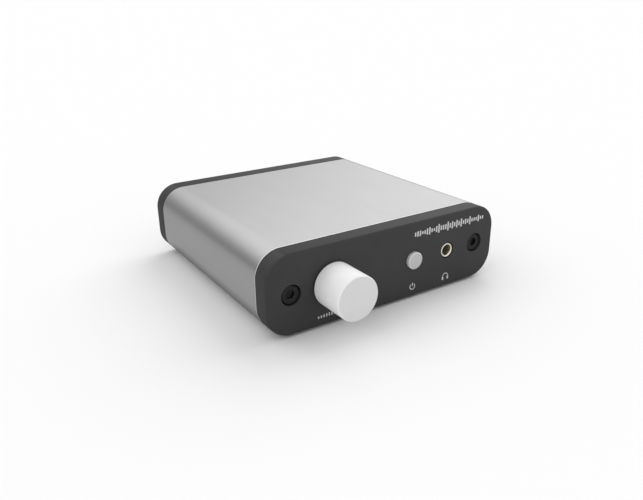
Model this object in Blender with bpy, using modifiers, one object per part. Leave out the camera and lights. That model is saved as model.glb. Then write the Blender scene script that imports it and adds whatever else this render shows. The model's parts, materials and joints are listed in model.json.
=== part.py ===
"""A desktop headphone amplifier with a built-in converter: an extruded aluminium sleeve between two black end
panels, with its controls in front and its sockets behind.

Frame: metres, +Z up, +X to the right as seen from the front, and the front panel facing -Y. The origin is on
the surface that the feet stand on, under the middle of the whole object, knob and sockets included.
"""

import math

import bmesh
import bpy
from mathutils import Matrix, Vector

MM = 0.001

# Driving dimensions
CASE_WIDTH = 89.0 * MM
CASE_HEIGHT = 25.6 * MM
CASE_DEPTH = 85.6 * MM  # from the front panel's face to the rear panel's face
CORNER_RADIUS = 8.4 * MM
FRONT_THICKNESS = 5.8 * MM
REAR_THICKNESS = 6.4 * MM
PANEL_ROUNDING = 0.35 * MM
WALL = 1.6 * MM
FOOT_HEIGHT = 0.8 * MM
FOOT_RADIUS = 4.0 * MM
FOOT_X = 29.0 * MM
KNOB_REACH = 12.6 * MM  # from the front panel's face to the knob's face
PHONO_REACH = 8.4 * MM  # from the rear panel's face to the phono sockets' ends
GAP = 0.3 * MM  # between pieces that touch on the real object

# Places that follow from them
TOTAL_DEPTH = KNOB_REACH + CASE_DEPTH + PHONO_REACH
FRONT_Y = KNOB_REACH - TOTAL_DEPTH / 2
REAR_Y = FRONT_Y + CASE_DEPTH
SLEEVE_FRONT = FRONT_Y + FRONT_THICKNESS + GAP
SLEEVE_REAR = REAR_Y - REAR_THICKNESS - GAP
MID_Z = FOOT_HEIGHT + CASE_HEIGHT / 2
AXIS_Z = MID_Z  # the line that the controls and the phono sockets are on

# The circuit board and what slides it into the sleeve
BOARD_THICKNESS = 1.6 * MM
BOARD_TOP = MID_Z - 6.2 * MM
BOARD_HALF_WIDTH = 41.4 * MM
GUIDE_REACH = 39.6 * MM  # how near the middle the guide ribs come
GUIDE_THICKNESS = 1.2 * MM
PARTS_Z = BOARD_TOP + GAP  # the underside of everything soldered to the board

# Screws, and the ports for them in the sleeve
SCREW_X = 36.2 * MM
SHANK_RADIUS = 1.3 * MM
CLEARANCE_RADIUS = 1.7 * MM
PORT_HOLE_RADIUS = 1.6 * MM
PORT_RADIUS = 3.0 * MM
PORT_MOUTH = math.radians(30)  # half of the opening of each C-shaped port
PORT_RIB = 2.0 * MM
HEAD_RADIUS = 2.75 * MM
HEAD_HEIGHT = 2.6 * MM
HEAD_SUNK = 0.6 * MM
HEX_RADIUS = 1.44 * MM  # to the corners of a 2.5 mm hexagon
HEX_DEPTH = 1.5 * MM
COUNTERBORE_RADIUS = 3.3 * MM

# Volume control
KNOB_X = -21.8 * MM
KNOB_RADIUS = 7.0 * MM
KNOB_GAP = 0.4 * MM
SHAFT_RADIUS = 3.0 * MM
SHAFT_FLAT = 1.5 * MM  # from the axis to the flat of the D
RUNNING = 0.08 * MM
NECK_RADIUS = 3.5 * MM
POT_WIDTH = 10.0 * MM
POT_DEPTH = 6.0 * MM
POT_TOP = AXIS_Z + 5.1 * MM
WIPER_RADIUS = 4.1 * MM

# Power button
BUTTON_X = 9.25 * MM
BUTTON_RADIUS = 2.87 * MM
BUTTON_PROUD = 1.16 * MM
BUTTON_FLANGE_RADIUS = 3.8 * MM
BUTTON_TAIL_RADIUS = 1.95 * MM
PLUNGER_SIDE = 2.1 * MM
SWITCH_WIDTH = 8.0 * MM
SWITCH_DEPTH = 9.0 * MM
SPRING_TURNS = 5
SPRING_RADIUS = 2.45 * MM
SPRING_WIRE = 0.2 * MM

# Headphone socket, for a 3.5 mm plug
JACK_X = 23.7 * MM
FERRULE_RADIUS = 2.47 * MM
JACK_BORE = 1.8 * MM
JACK_WIDTH = 7.2 * MM
JACK_DEPTH = 12.5 * MM

# USB socket, type B
USB_X = -22.5 * MM
USB_WIDTH = 12.0 * MM
USB_HEIGHT = 11.0 * MM
USB_DEPTH = 16.0 * MM
USB_SKIN = 0.4 * MM
USB_PORT = (8.5 * MM, 7.8 * MM)
USB_PORT_DEPTH = 9.8 * MM
USB_TONGUE = (5.6 * MM, 3.2 * MM)
USB_CONTACT_PITCH = 2.5 * MM

# Optical socket, with a shutter hinged along its top
OPTICAL_X = -5.5 * MM
OPTICAL_WIDTH = 9.9 * MM
OPTICAL_DEPTH = 15.0 * MM
OPTICAL_MOUTH = (7.8 * MM, 7.4 * MM)
FIBRE_RADIUS = 1.5 * MM
RECEIVER_HALF = 3.0 * MM
SHUTTER_THICKNESS = 0.7 * MM
BARREL_RADIUS = 0.55 * MM
HINGE_PIN_RADIUS = 0.3 * MM

# Phono sockets
PHONO_XS = {"left": 11.0 * MM, "right": 25.0 * MM}
PHONO_RADIUS = 4.15 * MM
PHONO_INSULATOR = (3.2 * MM, 2.3 * MM)  # outer and inner radius
PHONO_CONTACT = (2.0 * MM, 1.65 * MM)
PHONO_COLLAR_RADIUS = 5.6 * MM
PHONO_BLOCK_DEPTH = 8.0 * MM

SOCKET_FACE = REAR_Y - GAP  # the USB and optical sockets end just inside the rear panel's face
ROUND = 40  # sides of the round pieces that show
SMALL_ROUND = 20


# Scene, materials and basic shapes ----------------------------------------------------------------

for old in list(bpy.data.objects):
    bpy.data.objects.remove(old, do_unlink=True)

PARTS = bpy.data.collections.new("headphone_amplifier")
CUTTERS = bpy.data.collections.new("cutters")
for made in (PARTS, CUTTERS):
    bpy.context.scene.collection.children.link(made)


def material(name, colour, roughness, metallic=0.0):
    """A Principled material of one linear colour."""
    new = bpy.data.materials.new(name)
    new.use_nodes = True
    shader = new.node_tree.nodes["Principled BSDF"]
    shader.inputs["Base Color"].default_value = (*colour, 1.0)
    shader.inputs["Roughness"].default_value = roughness
    shader.inputs["Metallic"].default_value = metallic
    return new


ALUMINIUM = material("satin_aluminium", (0.62, 0.62, 0.62), 0.38, 1.0)
KNOB_METAL = material("bright_aluminium", (0.78, 0.78, 0.78), 0.3, 1.0)
BLACK_PANEL = material("black_panel", (0.045, 0.045, 0.045), 0.55)
BLACK_STEEL = material("black_steel", (0.02, 0.02, 0.02), 0.4, 1.0)
BLACK_PLASTIC = material("black_plastic", (0.025, 0.025, 0.025), 0.5)
RUBBER = material("rubber", (0.03, 0.03, 0.03), 0.8)
GOLD = material("gold_plate", (0.83, 0.62, 0.3), 0.25, 1.0)
STEEL = material("steel", (0.55, 0.55, 0.56), 0.35, 1.0)
WHITE_PLASTIC = material("white_plastic", (0.75, 0.75, 0.73), 0.45)
RED_PLASTIC = material("red_plastic", (0.55, 0.03, 0.03), 0.45)
BOARD_GREEN = material("board_green", (0.02, 0.14, 0.06), 0.45)
CAN = material("capacitor_sleeve", (0.03, 0.035, 0.06), 0.35)


def placed(name, mesh, location, rotation, finish, cutter=False):
    """A named object for the mesh, in the parts' collection or, for a cutter, in the cutters'."""
    made = bpy.data.objects.new(name, mesh)
    made.location = location
    made.rotation_euler = rotation
    if cutter:
        CUTTERS.objects.link(made)
        made.hide_render = True
        made.display_type = "WIRE"
    else:
        PARTS.objects.link(made)
        mesh.materials.clear()
        mesh.materials.append(finish)
    return made


def block(name, low, high, finish=None, bevel=0.0, cutter=False):
    """A box between two corners, with its edges rounded if a bevel is given."""
    low, high = Vector(low), Vector(high)
    mesh = bpy.data.meshes.new(name)
    shape = bmesh.new()
    size = high - low
    bmesh.ops.create_cube(shape, size=1.0, matrix=Matrix.Diagonal((*size, 1.0)))
    shape.to_mesh(mesh)
    shape.free()
    made = placed(name, mesh, (low + high) / 2, (0, 0, 0), finish, cutter)
    if bevel:
        rounding = made.modifiers.new("rounding", "BEVEL")
        rounding.width = bevel
        rounding.segments = 1
    return made


FACINGS = {"front": (math.pi / 2, 0, 0), "rear": (-math.pi / 2, 0, 0), "up": (0, 0, 0)}


def turned(name, profile, location, facing, finish=None, sides=ROUND, ring=False, cutter=False):
    """A turned piece. The profile is (radius, height) pairs from the top of the axis down the outer side, and
    a ring's goes on round to where it began. The height runs towards the facing: front is -Y, rear is +Y."""
    mesh = bpy.data.meshes.new(name)
    points = [(radius, 0.0, height) for radius, height in profile]
    edges = [(i, i + 1) for i in range(len(points) - 1)]
    if ring:
        edges.append((len(points) - 1, 0))
    mesh.from_pydata(points, edges, [])
    made = placed(name, mesh, location, FACINGS[facing], finish, cutter)
    screw = made.modifiers.new("turning", "SCREW")
    screw.axis = "Z"
    screw.angle = 2 * math.pi
    screw.steps = screw.render_steps = sides
    screw.use_merge_vertices = True
    screw.merge_threshold = 0.00001
    screw.use_smooth_shade = False
    return made


def cylinder(name, radius, length, location, rotation, finish=None, sides=SMALL_ROUND, cutter=False):
    """A plain cylinder with its middle at the location."""
    mesh = bpy.data.meshes.new(name)
    shape = bmesh.new()
    bmesh.ops.create_cone(shape, cap_ends=True, segments=sides, radius1=radius, radius2=radius, depth=length)
    shape.to_mesh(mesh)
    shape.free()
    return placed(name, mesh, location, rotation, finish, cutter)


def rod(name, radius, near, far, x, z, finish=None, sides=SMALL_ROUND, cutter=False):
    """A plain cylinder along Y from near to far."""
    middle = (x, (near + far) / 2, z)
    return cylinder(name, radius, far - near, middle, FACINGS["rear"], finish, sides, cutter)


def bore(name, radius, near, far, x, z=AXIS_Z, sides=SMALL_ROUND):
    """A round cutter along Y from near to far."""
    return rod(name, radius, near, far, x, z, sides=sides, cutter=True)


def tube(name, outer, inner, near, far, x, finish, sides=SMALL_ROUND):
    """A plain tube along Y from near to far, at the height of the controls' and sockets' axes."""
    length = far - near
    profile = [(inner, length), (outer, length), (outer, 0), (inner, 0)]
    return turned(name, profile, (x, near, AXIS_Z), "rear", finish, sides, ring=True)


def prism(name, outlines, near, far, finish=None, cutter=False):
    """A solid along Y from near to far. Its outlines are closed lists of (x, z), the inner ones holes."""
    curve = bpy.data.curves.new(name, "CURVE")
    curve.dimensions = "2D"
    curve.fill_mode = "BOTH"
    curve.extrude = (far - near) / 2
    for outline in outlines:
        spline = curve.splines.new("POLY")
        spline.points.add(len(outline) - 1)
        for point, (x, z) in zip(spline.points, outline):
            point.co = (x, z, 0, 1)
        spline.use_cyclic_u = True
    guide = placed_curve(name, curve, (0, (near + far) / 2, 0), FACINGS["front"])
    return solid_of_curve(name, guide, finish, cutter)


def placed_curve(name, curve, location, rotation):
    made = bpy.data.objects.new(name + "_guide", curve)
    made.location = location
    made.rotation_euler = rotation
    PARTS.objects.link(made)
    return made


def solid_of_curve(name, guide, finish, cutter=False):
    """The curve's evaluated shape as a mesh object, with its caps welded on. The curve is removed."""
    bpy.context.view_layer.update()
    graph = bpy.context.evaluated_depsgraph_get()
    mesh = bpy.data.meshes.new_from_object(guide.evaluated_get(graph))
    mesh.name = name
    shape = bmesh.new()
    shape.from_mesh(mesh)
    bmesh.ops.remove_doubles(shape, verts=shape.verts, dist=0.000002)
    bmesh.ops.recalc_face_normals(shape, faces=shape.faces)
    shape.to_mesh(mesh)
    shape.free()
    location, rotation = guide.location.copy(), guide.rotation_euler.copy()
    bpy.data.objects.remove(guide, do_unlink=True)
    return placed(name, mesh, location, rotation, finish, cutter)


def wire(name, points, radius, finish):
    """A round wire through the points."""
    curve = bpy.data.curves.new(name, "CURVE")
    curve.dimensions = "3D"
    curve.bevel_depth = radius
    curve.bevel_resolution = 2
    curve.use_fill_caps = True
    spline = curve.splines.new("POLY")
    spline.points.add(len(points) - 1)
    for point, place in zip(spline.points, points):
        point.co = (*place, 1)
    guide = placed_curve(name, curve, (0, 0, 0), (0, 0, 0))
    return solid_of_curve(name, guide, finish)


def combine(piece, other, operation="DIFFERENCE"):
    """Cuts the other object from the piece, or joins it on."""
    boolean = piece.modifiers.new(other.name, "BOOLEAN")
    boolean.operation = operation
    boolean.object = other
    boolean.solver = "EXACT"


def smooth(piece, angle=35):
    piece.data.shade_smooth()
    piece.data.set_sharp_from_angle(angle=math.radians(angle))


def pivot(name, location, pieces):
    """An empty on a joint's axis, which the joint's moving pieces are parented to."""
    empty = bpy.data.objects.new(name, None)
    empty.location = location
    PARTS.objects.link(empty)
    bpy.context.view_layer.update()
    for piece in pieces:
        piece.parent = empty
        piece.matrix_parent_inverse = empty.matrix_world.inverted()


def arc(centre, radius, start, end, steps):
    """Points on a circle in the XZ plane, from one angle to another, both ends included."""
    angles = [start + (end - start) * i / steps for i in range(steps + 1)]
    return [(centre[0] + radius * math.cos(a), centre[1] + radius * math.sin(a)) for a in angles]


def rounded_outline(half_width, half_height, radius, steps=8, centre=(0.0, MID_Z)):
    """A rectangle with round corners, anticlockwise from its lower right side."""
    points = []
    for quarter, (side, level) in enumerate(((1, -1), (1, 1), (-1, 1), (-1, -1))):
        middle = (centre[0] + side * (half_width - radius), centre[1] + level * (half_height - radius))
        start = (quarter - 1) * math.pi / 2
        points += arc(middle, radius, start, start + math.pi / 2, steps)
    return points


# Case ---------------------------------------------------------------------------------------------


def wall_x(z):
    """Where the sleeve's inner wall is at a height, which is rounded near the floor and the roof."""
    half_height = CASE_HEIGHT / 2 - WALL
    radius = CORNER_RADIUS - WALL
    over = max(0.0, abs(z - MID_Z) - (half_height - radius))
    return CASE_WIDTH / 2 - WALL - radius + math.sqrt(radius**2 - over**2)


def guide_rib(low, high):
    """One rib beside the board, as a step in the right-hand wall."""
    return [(wall_x(low), low), (GUIDE_REACH, low), (GUIDE_REACH, high), (wall_x(high), high)]


def wall_between(low, high, steps):
    """Points of the right-hand wall strictly between two heights."""
    heights = [low + (high - low) * i / (steps + 1) for i in range(1, steps + 1)]
    return [(wall_x(z), z) for z in heights]


def screw_port():
    """The C-shaped screw port on its rib, as a step in the right-hand wall."""
    centre = (SCREW_X, MID_Z)
    root = math.asin(PORT_RIB / 2 / PORT_RADIUS)
    lip = math.pi - PORT_MOUTH
    side = CASE_WIDTH / 2 - WALL
    return (
        [(side, MID_Z - PORT_RIB / 2)]
        + arc(centre, PORT_RADIUS, -root, -lip, 8)
        + arc(centre, PORT_HOLE_RADIUS, -lip, lip, 12)
        + arc(centre, PORT_RADIUS, lip, root, 8)
        + [(side, MID_Z + PORT_RIB / 2)]
    )


def sleeve_inside():
    """The inner outline of the extrusion: the right-hand half from floor to roof, and its mirror image."""
    floor, roof = MID_Z - CASE_HEIGHT / 2 + WALL, MID_Z + CASE_HEIGHT / 2 - WALL
    corner = CORNER_RADIUS - WALL
    corner_x = CASE_WIDTH / 2 - CORNER_RADIUS
    slot_low = BOARD_TOP - BOARD_THICKNESS - GAP
    slot_high = BOARD_TOP + GAP
    under = slot_low - GUIDE_THICKNESS
    over = slot_high + GUIDE_THICKNESS
    right = [(corner_x, floor)]
    right += wall_between(floor, under, 3)
    right += guide_rib(under, slot_low)
    right += wall_between(slot_low, slot_high, 2)
    right += guide_rib(slot_high, over)
    right += screw_port()
    right += arc((corner_x, roof - corner), corner, 0, math.pi / 2, 8)
    return right + [(-x, z) for x, z in reversed(right)]


def make_sleeve():
    outside = rounded_outline(CASE_WIDTH / 2, CASE_HEIGHT / 2, CORNER_RADIUS)
    sleeve = prism("sleeve", [outside, sleeve_inside()], SLEEVE_FRONT, SLEEVE_REAR, ALUMINIUM)
    smooth(sleeve)


def make_panel(name, near, far):
    """A black end panel with its outer edges rounded, and the two screws' counterbored holes in it."""
    outline = rounded_outline(CASE_WIDTH / 2, CASE_HEIGHT / 2, CORNER_RADIUS)
    panel = prism(name, [outline], near, far, BLACK_PANEL)
    rounding = panel.modifiers.new("rounding", "BEVEL")
    rounding.width = PANEL_ROUNDING
    rounding.segments = 1
    rounding.limit_method = "ANGLE"
    rounding.angle_limit = math.radians(60)
    depth = HEAD_SUNK + HEAD_HEIGHT + GAP
    ends = (near - MM, near + depth) if near == FRONT_Y else (far - depth, far + MM)
    for side, x in (("left", -SCREW_X), ("right", SCREW_X)):
        combine(panel, bore(f"{name}_{side}_hole", CLEARANCE_RADIUS, near - MM, far + MM, x, MID_Z))
        combine(panel, bore(f"{name}_{side}_counterbore", COUNTERBORE_RADIUS, *ends, x, MID_Z, 28))
    return panel


def make_front_panel():
    panel = make_panel("front_panel", FRONT_Y, FRONT_Y + FRONT_THICKNESS)
    before, behind = FRONT_Y - MM, FRONT_Y + FRONT_THICKNESS + MM
    combine(panel, bore("knob_hole", NECK_RADIUS + GAP, before, behind, KNOB_X, sides=28))
    combine(panel, bore("button_hole", BUTTON_RADIUS + 0.2 * MM, before, behind, BUTTON_X, sides=ROUND))
    combine(panel, bore("button_recess", BUTTON_FLANGE_RADIUS + GAP, BUTTON_STOP, behind, BUTTON_X))
    combine(panel, bore("jack_hole", FERRULE_RADIUS + GAP, before, behind, JACK_X, sides=32))


def socket_outline(x, width, low, high):
    """A rectangular cut-out around a socket, with a little room on every side."""
    half = width / 2 + GAP
    return [(x - half, low - GAP), (x + half, low - GAP), (x + half, high + GAP), (x - half, high + GAP)]


def make_rear_panel():
    panel = make_panel("rear_panel", REAR_Y - REAR_THICKNESS, REAR_Y)
    before, behind = REAR_Y - REAR_THICKNESS - MM, REAR_Y + MM
    usb = socket_outline(USB_X, USB_WIDTH, PARTS_Z, PARTS_Z + USB_HEIGHT)
    combine(panel, prism("usb_hole", [usb], before, behind, cutter=True))
    optical = socket_outline(OPTICAL_X, OPTICAL_WIDTH, PARTS_Z, OPTICAL_TOP)
    combine(panel, prism("optical_hole", [optical], before, behind, cutter=True))
    for side, x in PHONO_XS.items():
        combine(panel, bore(f"phono_{side}_hole", PHONO_RADIUS + GAP, before, behind, x, sides=ROUND))


def make_screws():
    """Four socket-head screws, two through each panel."""
    engaged = 10.0 * MM
    edge = 0.3 * MM
    for end, face, facing, into in (("front", FRONT_Y, "front", 1), ("rear", REAR_Y, "rear", -1)):
        for side, x in (("left", -SCREW_X), ("right", SCREW_X)):
            seat = Vector((x, face + into * (HEAD_SUNK + HEAD_HEIGHT), MID_Z))
            profile = [
                (0, HEAD_HEIGHT),
                (HEAD_RADIUS - edge, HEAD_HEIGHT),
                (HEAD_RADIUS, HEAD_HEIGHT - edge),
                (HEAD_RADIUS, 0),
                (SHANK_RADIUS, 0),
                (SHANK_RADIUS, -engaged + edge),
                (SHANK_RADIUS - edge, -engaged),
                (0, -engaged),
            ]
            screw = turned(f"{end}_screw_{side}", profile, seat, facing, BLACK_STEEL, 24)
            above, floor = HEAD_HEIGHT + MM, HEAD_HEIGHT - HEX_DEPTH
            socket = [(0, above), (HEX_RADIUS, above), (HEX_RADIUS, floor), (0, floor)]
            key = turned(f"{end}_{side}_hexagon", socket, seat, facing, sides=6, cutter=True)
            combine(screw, key)
            smooth(screw)


def make_feet():
    """Four rubber feet under the sleeve's flat."""
    inset = 8.5 * MM
    base = FOOT_HEIGHT - GAP
    waist, rest = FOOT_HEIGHT / 2, FOOT_RADIUS - 0.5 * MM
    profile = [(0, base), (FOOT_RADIUS, base), (FOOT_RADIUS, waist), (rest, 0), (0, 0)]
    for end, y in (("front", SLEEVE_FRONT + inset), ("rear", SLEEVE_REAR - inset)):
        for side, x in (("left", -FOOT_X), ("right", FOOT_X)):
            smooth(turned(f"{end}_foot_{side}", profile, (x, y, 0), "up", RUBBER, 24))


# Volume control -----------------------------------------------------------------------------------


def d_outline(radius, flat):
    """A circle about the knob's axis with a flat across its top."""
    corner = math.asin(flat / radius)
    return arc((KNOB_X, AXIS_Z), radius, math.pi - corner, 2 * math.pi + corner, SMALL_ROUND)


def make_knob():
    """A turned aluminium cup with a plastic insert that grips the D of the shaft."""
    face = FRONT_Y - KNOB_REACH
    back = FRONT_Y - KNOB_GAP
    length = back - face
    front_wall = 1.6 * MM
    hollow = 4.7 * MM
    edge = 0.35 * MM
    profile = [
        (0, length),
        (KNOB_RADIUS - edge, length),
        (KNOB_RADIUS, length - edge),
        (KNOB_RADIUS, 0.2 * MM),
        (KNOB_RADIUS - 0.2 * MM, 0),
        (hollow, 0),
        (hollow, length - front_wall),
        (0, length - front_wall),
    ]
    knob = turned("volume_knob", profile, (KNOB_X, back, AXIS_Z), "front", KNOB_METAL, 48)
    smooth(knob)
    insert_front = face + front_wall + GAP
    insert_back = back - 0.5 * MM
    insert = rod("knob_insert", hollow - GAP, insert_front, insert_back, KNOB_X, AXIS_Z, BLACK_PLASTIC)
    socket = [d_outline(SHAFT_RADIUS + RUNNING, SHAFT_FLAT + RUNNING)]
    combine(insert, prism("knob_socket", socket, insert_front + 0.6 * MM, back, cutter=True))
    smooth(insert)
    return knob, insert, insert_front + 0.6 * MM + GAP


POT_FRONT = SLEEVE_FRONT + GAP
ROTOR_FRONT = POT_FRONT + 1.6 * MM
ROTOR_THICKNESS = 1.2 * MM
REAR_PIVOT_RADIUS = 1.5 * MM


def make_potentiometer(shaft_tip):
    """The shaft and its wiper, which turn, in a housing that is closed by a plate with a neck."""
    plate_back = POT_FRONT + 0.8 * MM
    neck_front = FRONT_Y + 0.7 * MM
    low = (KNOB_X - POT_WIDTH / 2, POT_FRONT, PARTS_Z)
    high = (KNOB_X + POT_WIDTH / 2, plate_back, POT_TOP)
    plate = block("pot_front_plate", low, high, STEEL)
    neck = bore("pot_neck", NECK_RADIUS, neck_front, POT_FRONT + 0.4 * MM, KNOB_X, sides=24)
    combine(plate, neck, "UNION")
    running = SHAFT_RADIUS + RUNNING
    combine(plate, bore("pot_bearing", running, neck_front - MM, plate_back + MM, KNOB_X, sides=24))
    smooth(plate)

    housing_front = plate_back + GAP
    housing_back = housing_front + POT_DEPTH
    low, high = (low[0], housing_front, low[2]), (high[0], housing_back, high[2])
    housing = block("pot_housing", low, high, BLACK_PLASTIC)
    cavity_back = ROTOR_FRONT + ROTOR_THICKNESS + 0.8 * MM
    room = WIPER_RADIUS + GAP
    combine(housing, bore("pot_cavity", room, housing_front - MM, cavity_back, KNOB_X, sides=24))
    pivot_back = cavity_back + 1.5 * MM
    running = REAR_PIVOT_RADIUS + RUNNING
    combine(housing, bore("pot_pivot_hole", running, cavity_back - MM, pivot_back, KNOB_X))

    shaft_end = ROTOR_FRONT + ROTOR_THICKNESS
    tail = pivot_back - GAP - shaft_end
    length = shaft_end - shaft_tip
    edge = 0.3 * MM
    profile = [
        (0, length),
        (SHAFT_RADIUS - edge, length),
        (SHAFT_RADIUS, length - edge),
        (SHAFT_RADIUS, 0),
        (REAR_PIVOT_RADIUS, 0),
        (REAR_PIVOT_RADIUS, -tail),
        (0, -tail),
    ]
    shaft = turned("volume_shaft", profile, (KNOB_X, shaft_end, AXIS_Z), "front", STEEL, 24)
    low = (KNOB_X - 4 * MM, shaft_tip - MM, AXIS_Z + SHAFT_FLAT)
    high = (KNOB_X + 4 * MM, FRONT_Y - 0.5 * MM, AXIS_Z + 4 * MM)
    combine(shaft, block("shaft_flat", low, high, cutter=True))
    smooth(shaft)
    inner = SHAFT_RADIUS + GAP
    wiper = tube("pot_wiper", WIPER_RADIUS, inner, ROTOR_FRONT, shaft_end, KNOB_X, WHITE_PLASTIC, 24)
    return shaft, wiper


def make_volume_control():
    knob, insert, shaft_tip = make_knob()
    shaft, wiper = make_potentiometer(shaft_tip)
    pivot("volume_axis", (KNOB_X, FRONT_Y, AXIS_Z), (knob, insert, shaft, wiper))


# Power button -------------------------------------------------------------------------------------

BUTTON_STOP = FRONT_Y + 3.0 * MM  # the panel's shoulder, which the button's flange rests against
FLANGE_THICKNESS = 0.8 * MM
FLANGE_FRONT = BUTTON_STOP + GAP
SWITCH_FRONT = SLEEVE_FRONT + 3.75 * MM


def spring_points(start, end):
    """A round coil along Y about the button's axis."""
    steps = SPRING_TURNS * 10
    points = []
    for i in range(steps + 1):
        turn = 2 * math.pi * SPRING_TURNS * i / steps
        x = BUTTON_X + SPRING_RADIUS * math.cos(turn)
        z = AXIS_Z + SPRING_RADIUS * math.sin(turn)
        points.append((x, start + (end - start) * i / steps, z))
    return points


def make_power_button():
    """A button with a flange behind the panel, on a spring and the plunger of a push switch."""
    tip = FRONT_Y - BUTTON_PROUD
    flange_back = FLANGE_FRONT + FLANGE_THICKNESS
    tail_back = flange_back + 1.3 * MM
    edge = 0.2 * MM
    top = tail_back - tip
    profile = [
        (0, top),
        (BUTTON_RADIUS - edge, top),
        (BUTTON_RADIUS, top - edge),
        (BUTTON_RADIUS, tail_back - FLANGE_FRONT),
        (BUTTON_FLANGE_RADIUS, tail_back - FLANGE_FRONT),
        (BUTTON_FLANGE_RADIUS, tail_back - flange_back),
        (BUTTON_TAIL_RADIUS, tail_back - flange_back),
        (BUTTON_TAIL_RADIUS, 0),
        (0, 0),
    ]
    button = turned("power_button", profile, (BUTTON_X, tail_back, AXIS_Z), "front", KNOB_METAL, 32)
    half = PLUNGER_SIDE / 2 + 0.1 * MM
    socket_front = tail_back - 4.0 * MM
    low = (BUTTON_X - half, socket_front, AXIS_Z - half)
    high = (BUTTON_X + half, tail_back + MM, AXIS_Z + half)
    combine(button, block("plunger_socket", low, high, cutter=True))
    smooth(button)

    half = PLUNGER_SIDE / 2
    low = (BUTTON_X - half, socket_front + GAP, AXIS_Z - half)
    high = (BUTTON_X + half, SWITCH_FRONT + 3.0 * MM, AXIS_Z + half)
    plunger = block("power_plunger", low, high, WHITE_PLASTIC, bevel=0.15 * MM)

    half = SWITCH_WIDTH / 2
    low = (BUTTON_X - half, SWITCH_FRONT, PARTS_Z)
    high = (BUTTON_X + half, SWITCH_FRONT + SWITCH_DEPTH, AXIS_Z + half)
    housing = block("power_switch_housing", low, high, BLACK_PLASTIC, bevel=0.3 * MM)
    half = PLUNGER_SIDE / 2 + 0.25 * MM
    low = (BUTTON_X - half, SWITCH_FRONT - MM, AXIS_Z - half)
    high = (BUTTON_X + half, SWITCH_FRONT + 6.5 * MM, AXIS_Z + half)
    combine(housing, block("switch_channel", low, high, cutter=True))

    room = SPRING_WIRE + GAP
    coil = spring_points(flange_back + room, SWITCH_FRONT - room)
    smooth(wire("power_spring", coil, SPRING_WIRE, STEEL))
    pivot("power_axis", (BUTTON_X, tip, AXIS_Z), (button, plunger))


# Headphone socket ---------------------------------------------------------------------------------


def bent_strip(name, path, thickness, x, width, finish):
    """A strip of sheet metal bent along a path of (y, z) points, and width wide across X."""
    half = thickness / 2
    sides = {1: [], -1: []}
    for i, here in enumerate(path):
        before, after = Vector(path[max(i - 1, 0)]), Vector(path[min(i + 1, len(path) - 1)])
        here = Vector(here)
        into = (here - before).normalized() if i else (after - here).normalized()
        out = (after - here).normalized() if i < len(path) - 1 else into
        middle = (into + out).normalized()
        normal = Vector((-middle.y, middle.x))
        reach = half / max(0.5, middle.dot(into))
        for side, points in sides.items():
            points.append(here + normal * reach * side)
    outline = sides[-1] + sides[1][::-1]
    curve = bpy.data.curves.new(name, "CURVE")
    curve.dimensions = "2D"
    curve.fill_mode = "BOTH"
    curve.extrude = width / 2
    spline = curve.splines.new("POLY")
    spline.points.add(len(outline) - 1)
    for point, (y, z) in zip(spline.points, outline):
        point.co = (y, z, 0, 1)
    spline.use_cyclic_u = True
    guide = placed_curve(name, curve, (x, 0, 0), (math.pi / 2, 0, math.pi / 2))
    return solid_of_curve(name, guide, finish)


def make_headphone_socket():
    """A gold ferrule in front of a moulded body, with two leaf contacts in its slots."""
    face = FRONT_Y - 0.15 * MM
    ferrule_back = SLEEVE_FRONT + 0.5 * MM
    length = ferrule_back - face
    bevel = 0.2 * MM
    profile = [
        (JACK_BORE, length - bevel),
        (JACK_BORE + bevel, length),
        (FERRULE_RADIUS - bevel, length),
        (FERRULE_RADIUS, length - bevel),
        (FERRULE_RADIUS, 0),
        (JACK_BORE, 0),
    ]
    ferrule = turned("jack_ferrule", profile, (JACK_X, ferrule_back, AXIS_Z), "front", GOLD, 32, ring=True)
    smooth(ferrule)

    body_front = ferrule_back + GAP
    body_back = body_front + JACK_DEPTH
    top = AXIS_Z + 3.8 * MM
    low = (JACK_X - JACK_WIDTH / 2, body_front, PARTS_Z)
    high = (JACK_X + JACK_WIDTH / 2, body_back, top)
    body = block("jack_housing", low, high, BLACK_PLASTIC, bevel=0.3 * MM)
    bore_back = body_back - 1.5 * MM
    combine(body, bore("jack_bore", JACK_BORE + 0.05 * MM, body_front - MM, bore_back, JACK_X, sides=24))
    for name, near, far in (("tip", 7.2, 11.4), ("ring", 1.2, 5.4)):
        start, end = body_front + near * MM, body_front + far * MM
        low, high = (JACK_X - 0.9 * MM, start, AXIS_Z), (JACK_X + 0.9 * MM, end, top + MM)
        combine(body, block(f"{name}_slot", low, high, cutter=True))
        crest = AXIS_Z + JACK_BORE + 0.2 * MM
        path = [
            (start + 0.4 * MM, top - 0.2 * MM),
            (start + 0.5 * MM, crest + 0.9 * MM),
            (start + 1.9 * MM, crest),
            (end - 0.5 * MM, crest + 0.8 * MM),
        ]
        bent_strip(f"jack_{name}_contact", path, 0.25 * MM, JACK_X, 1.3 * MM, GOLD)


# USB socket ---------------------------------------------------------------------------------------


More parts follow.
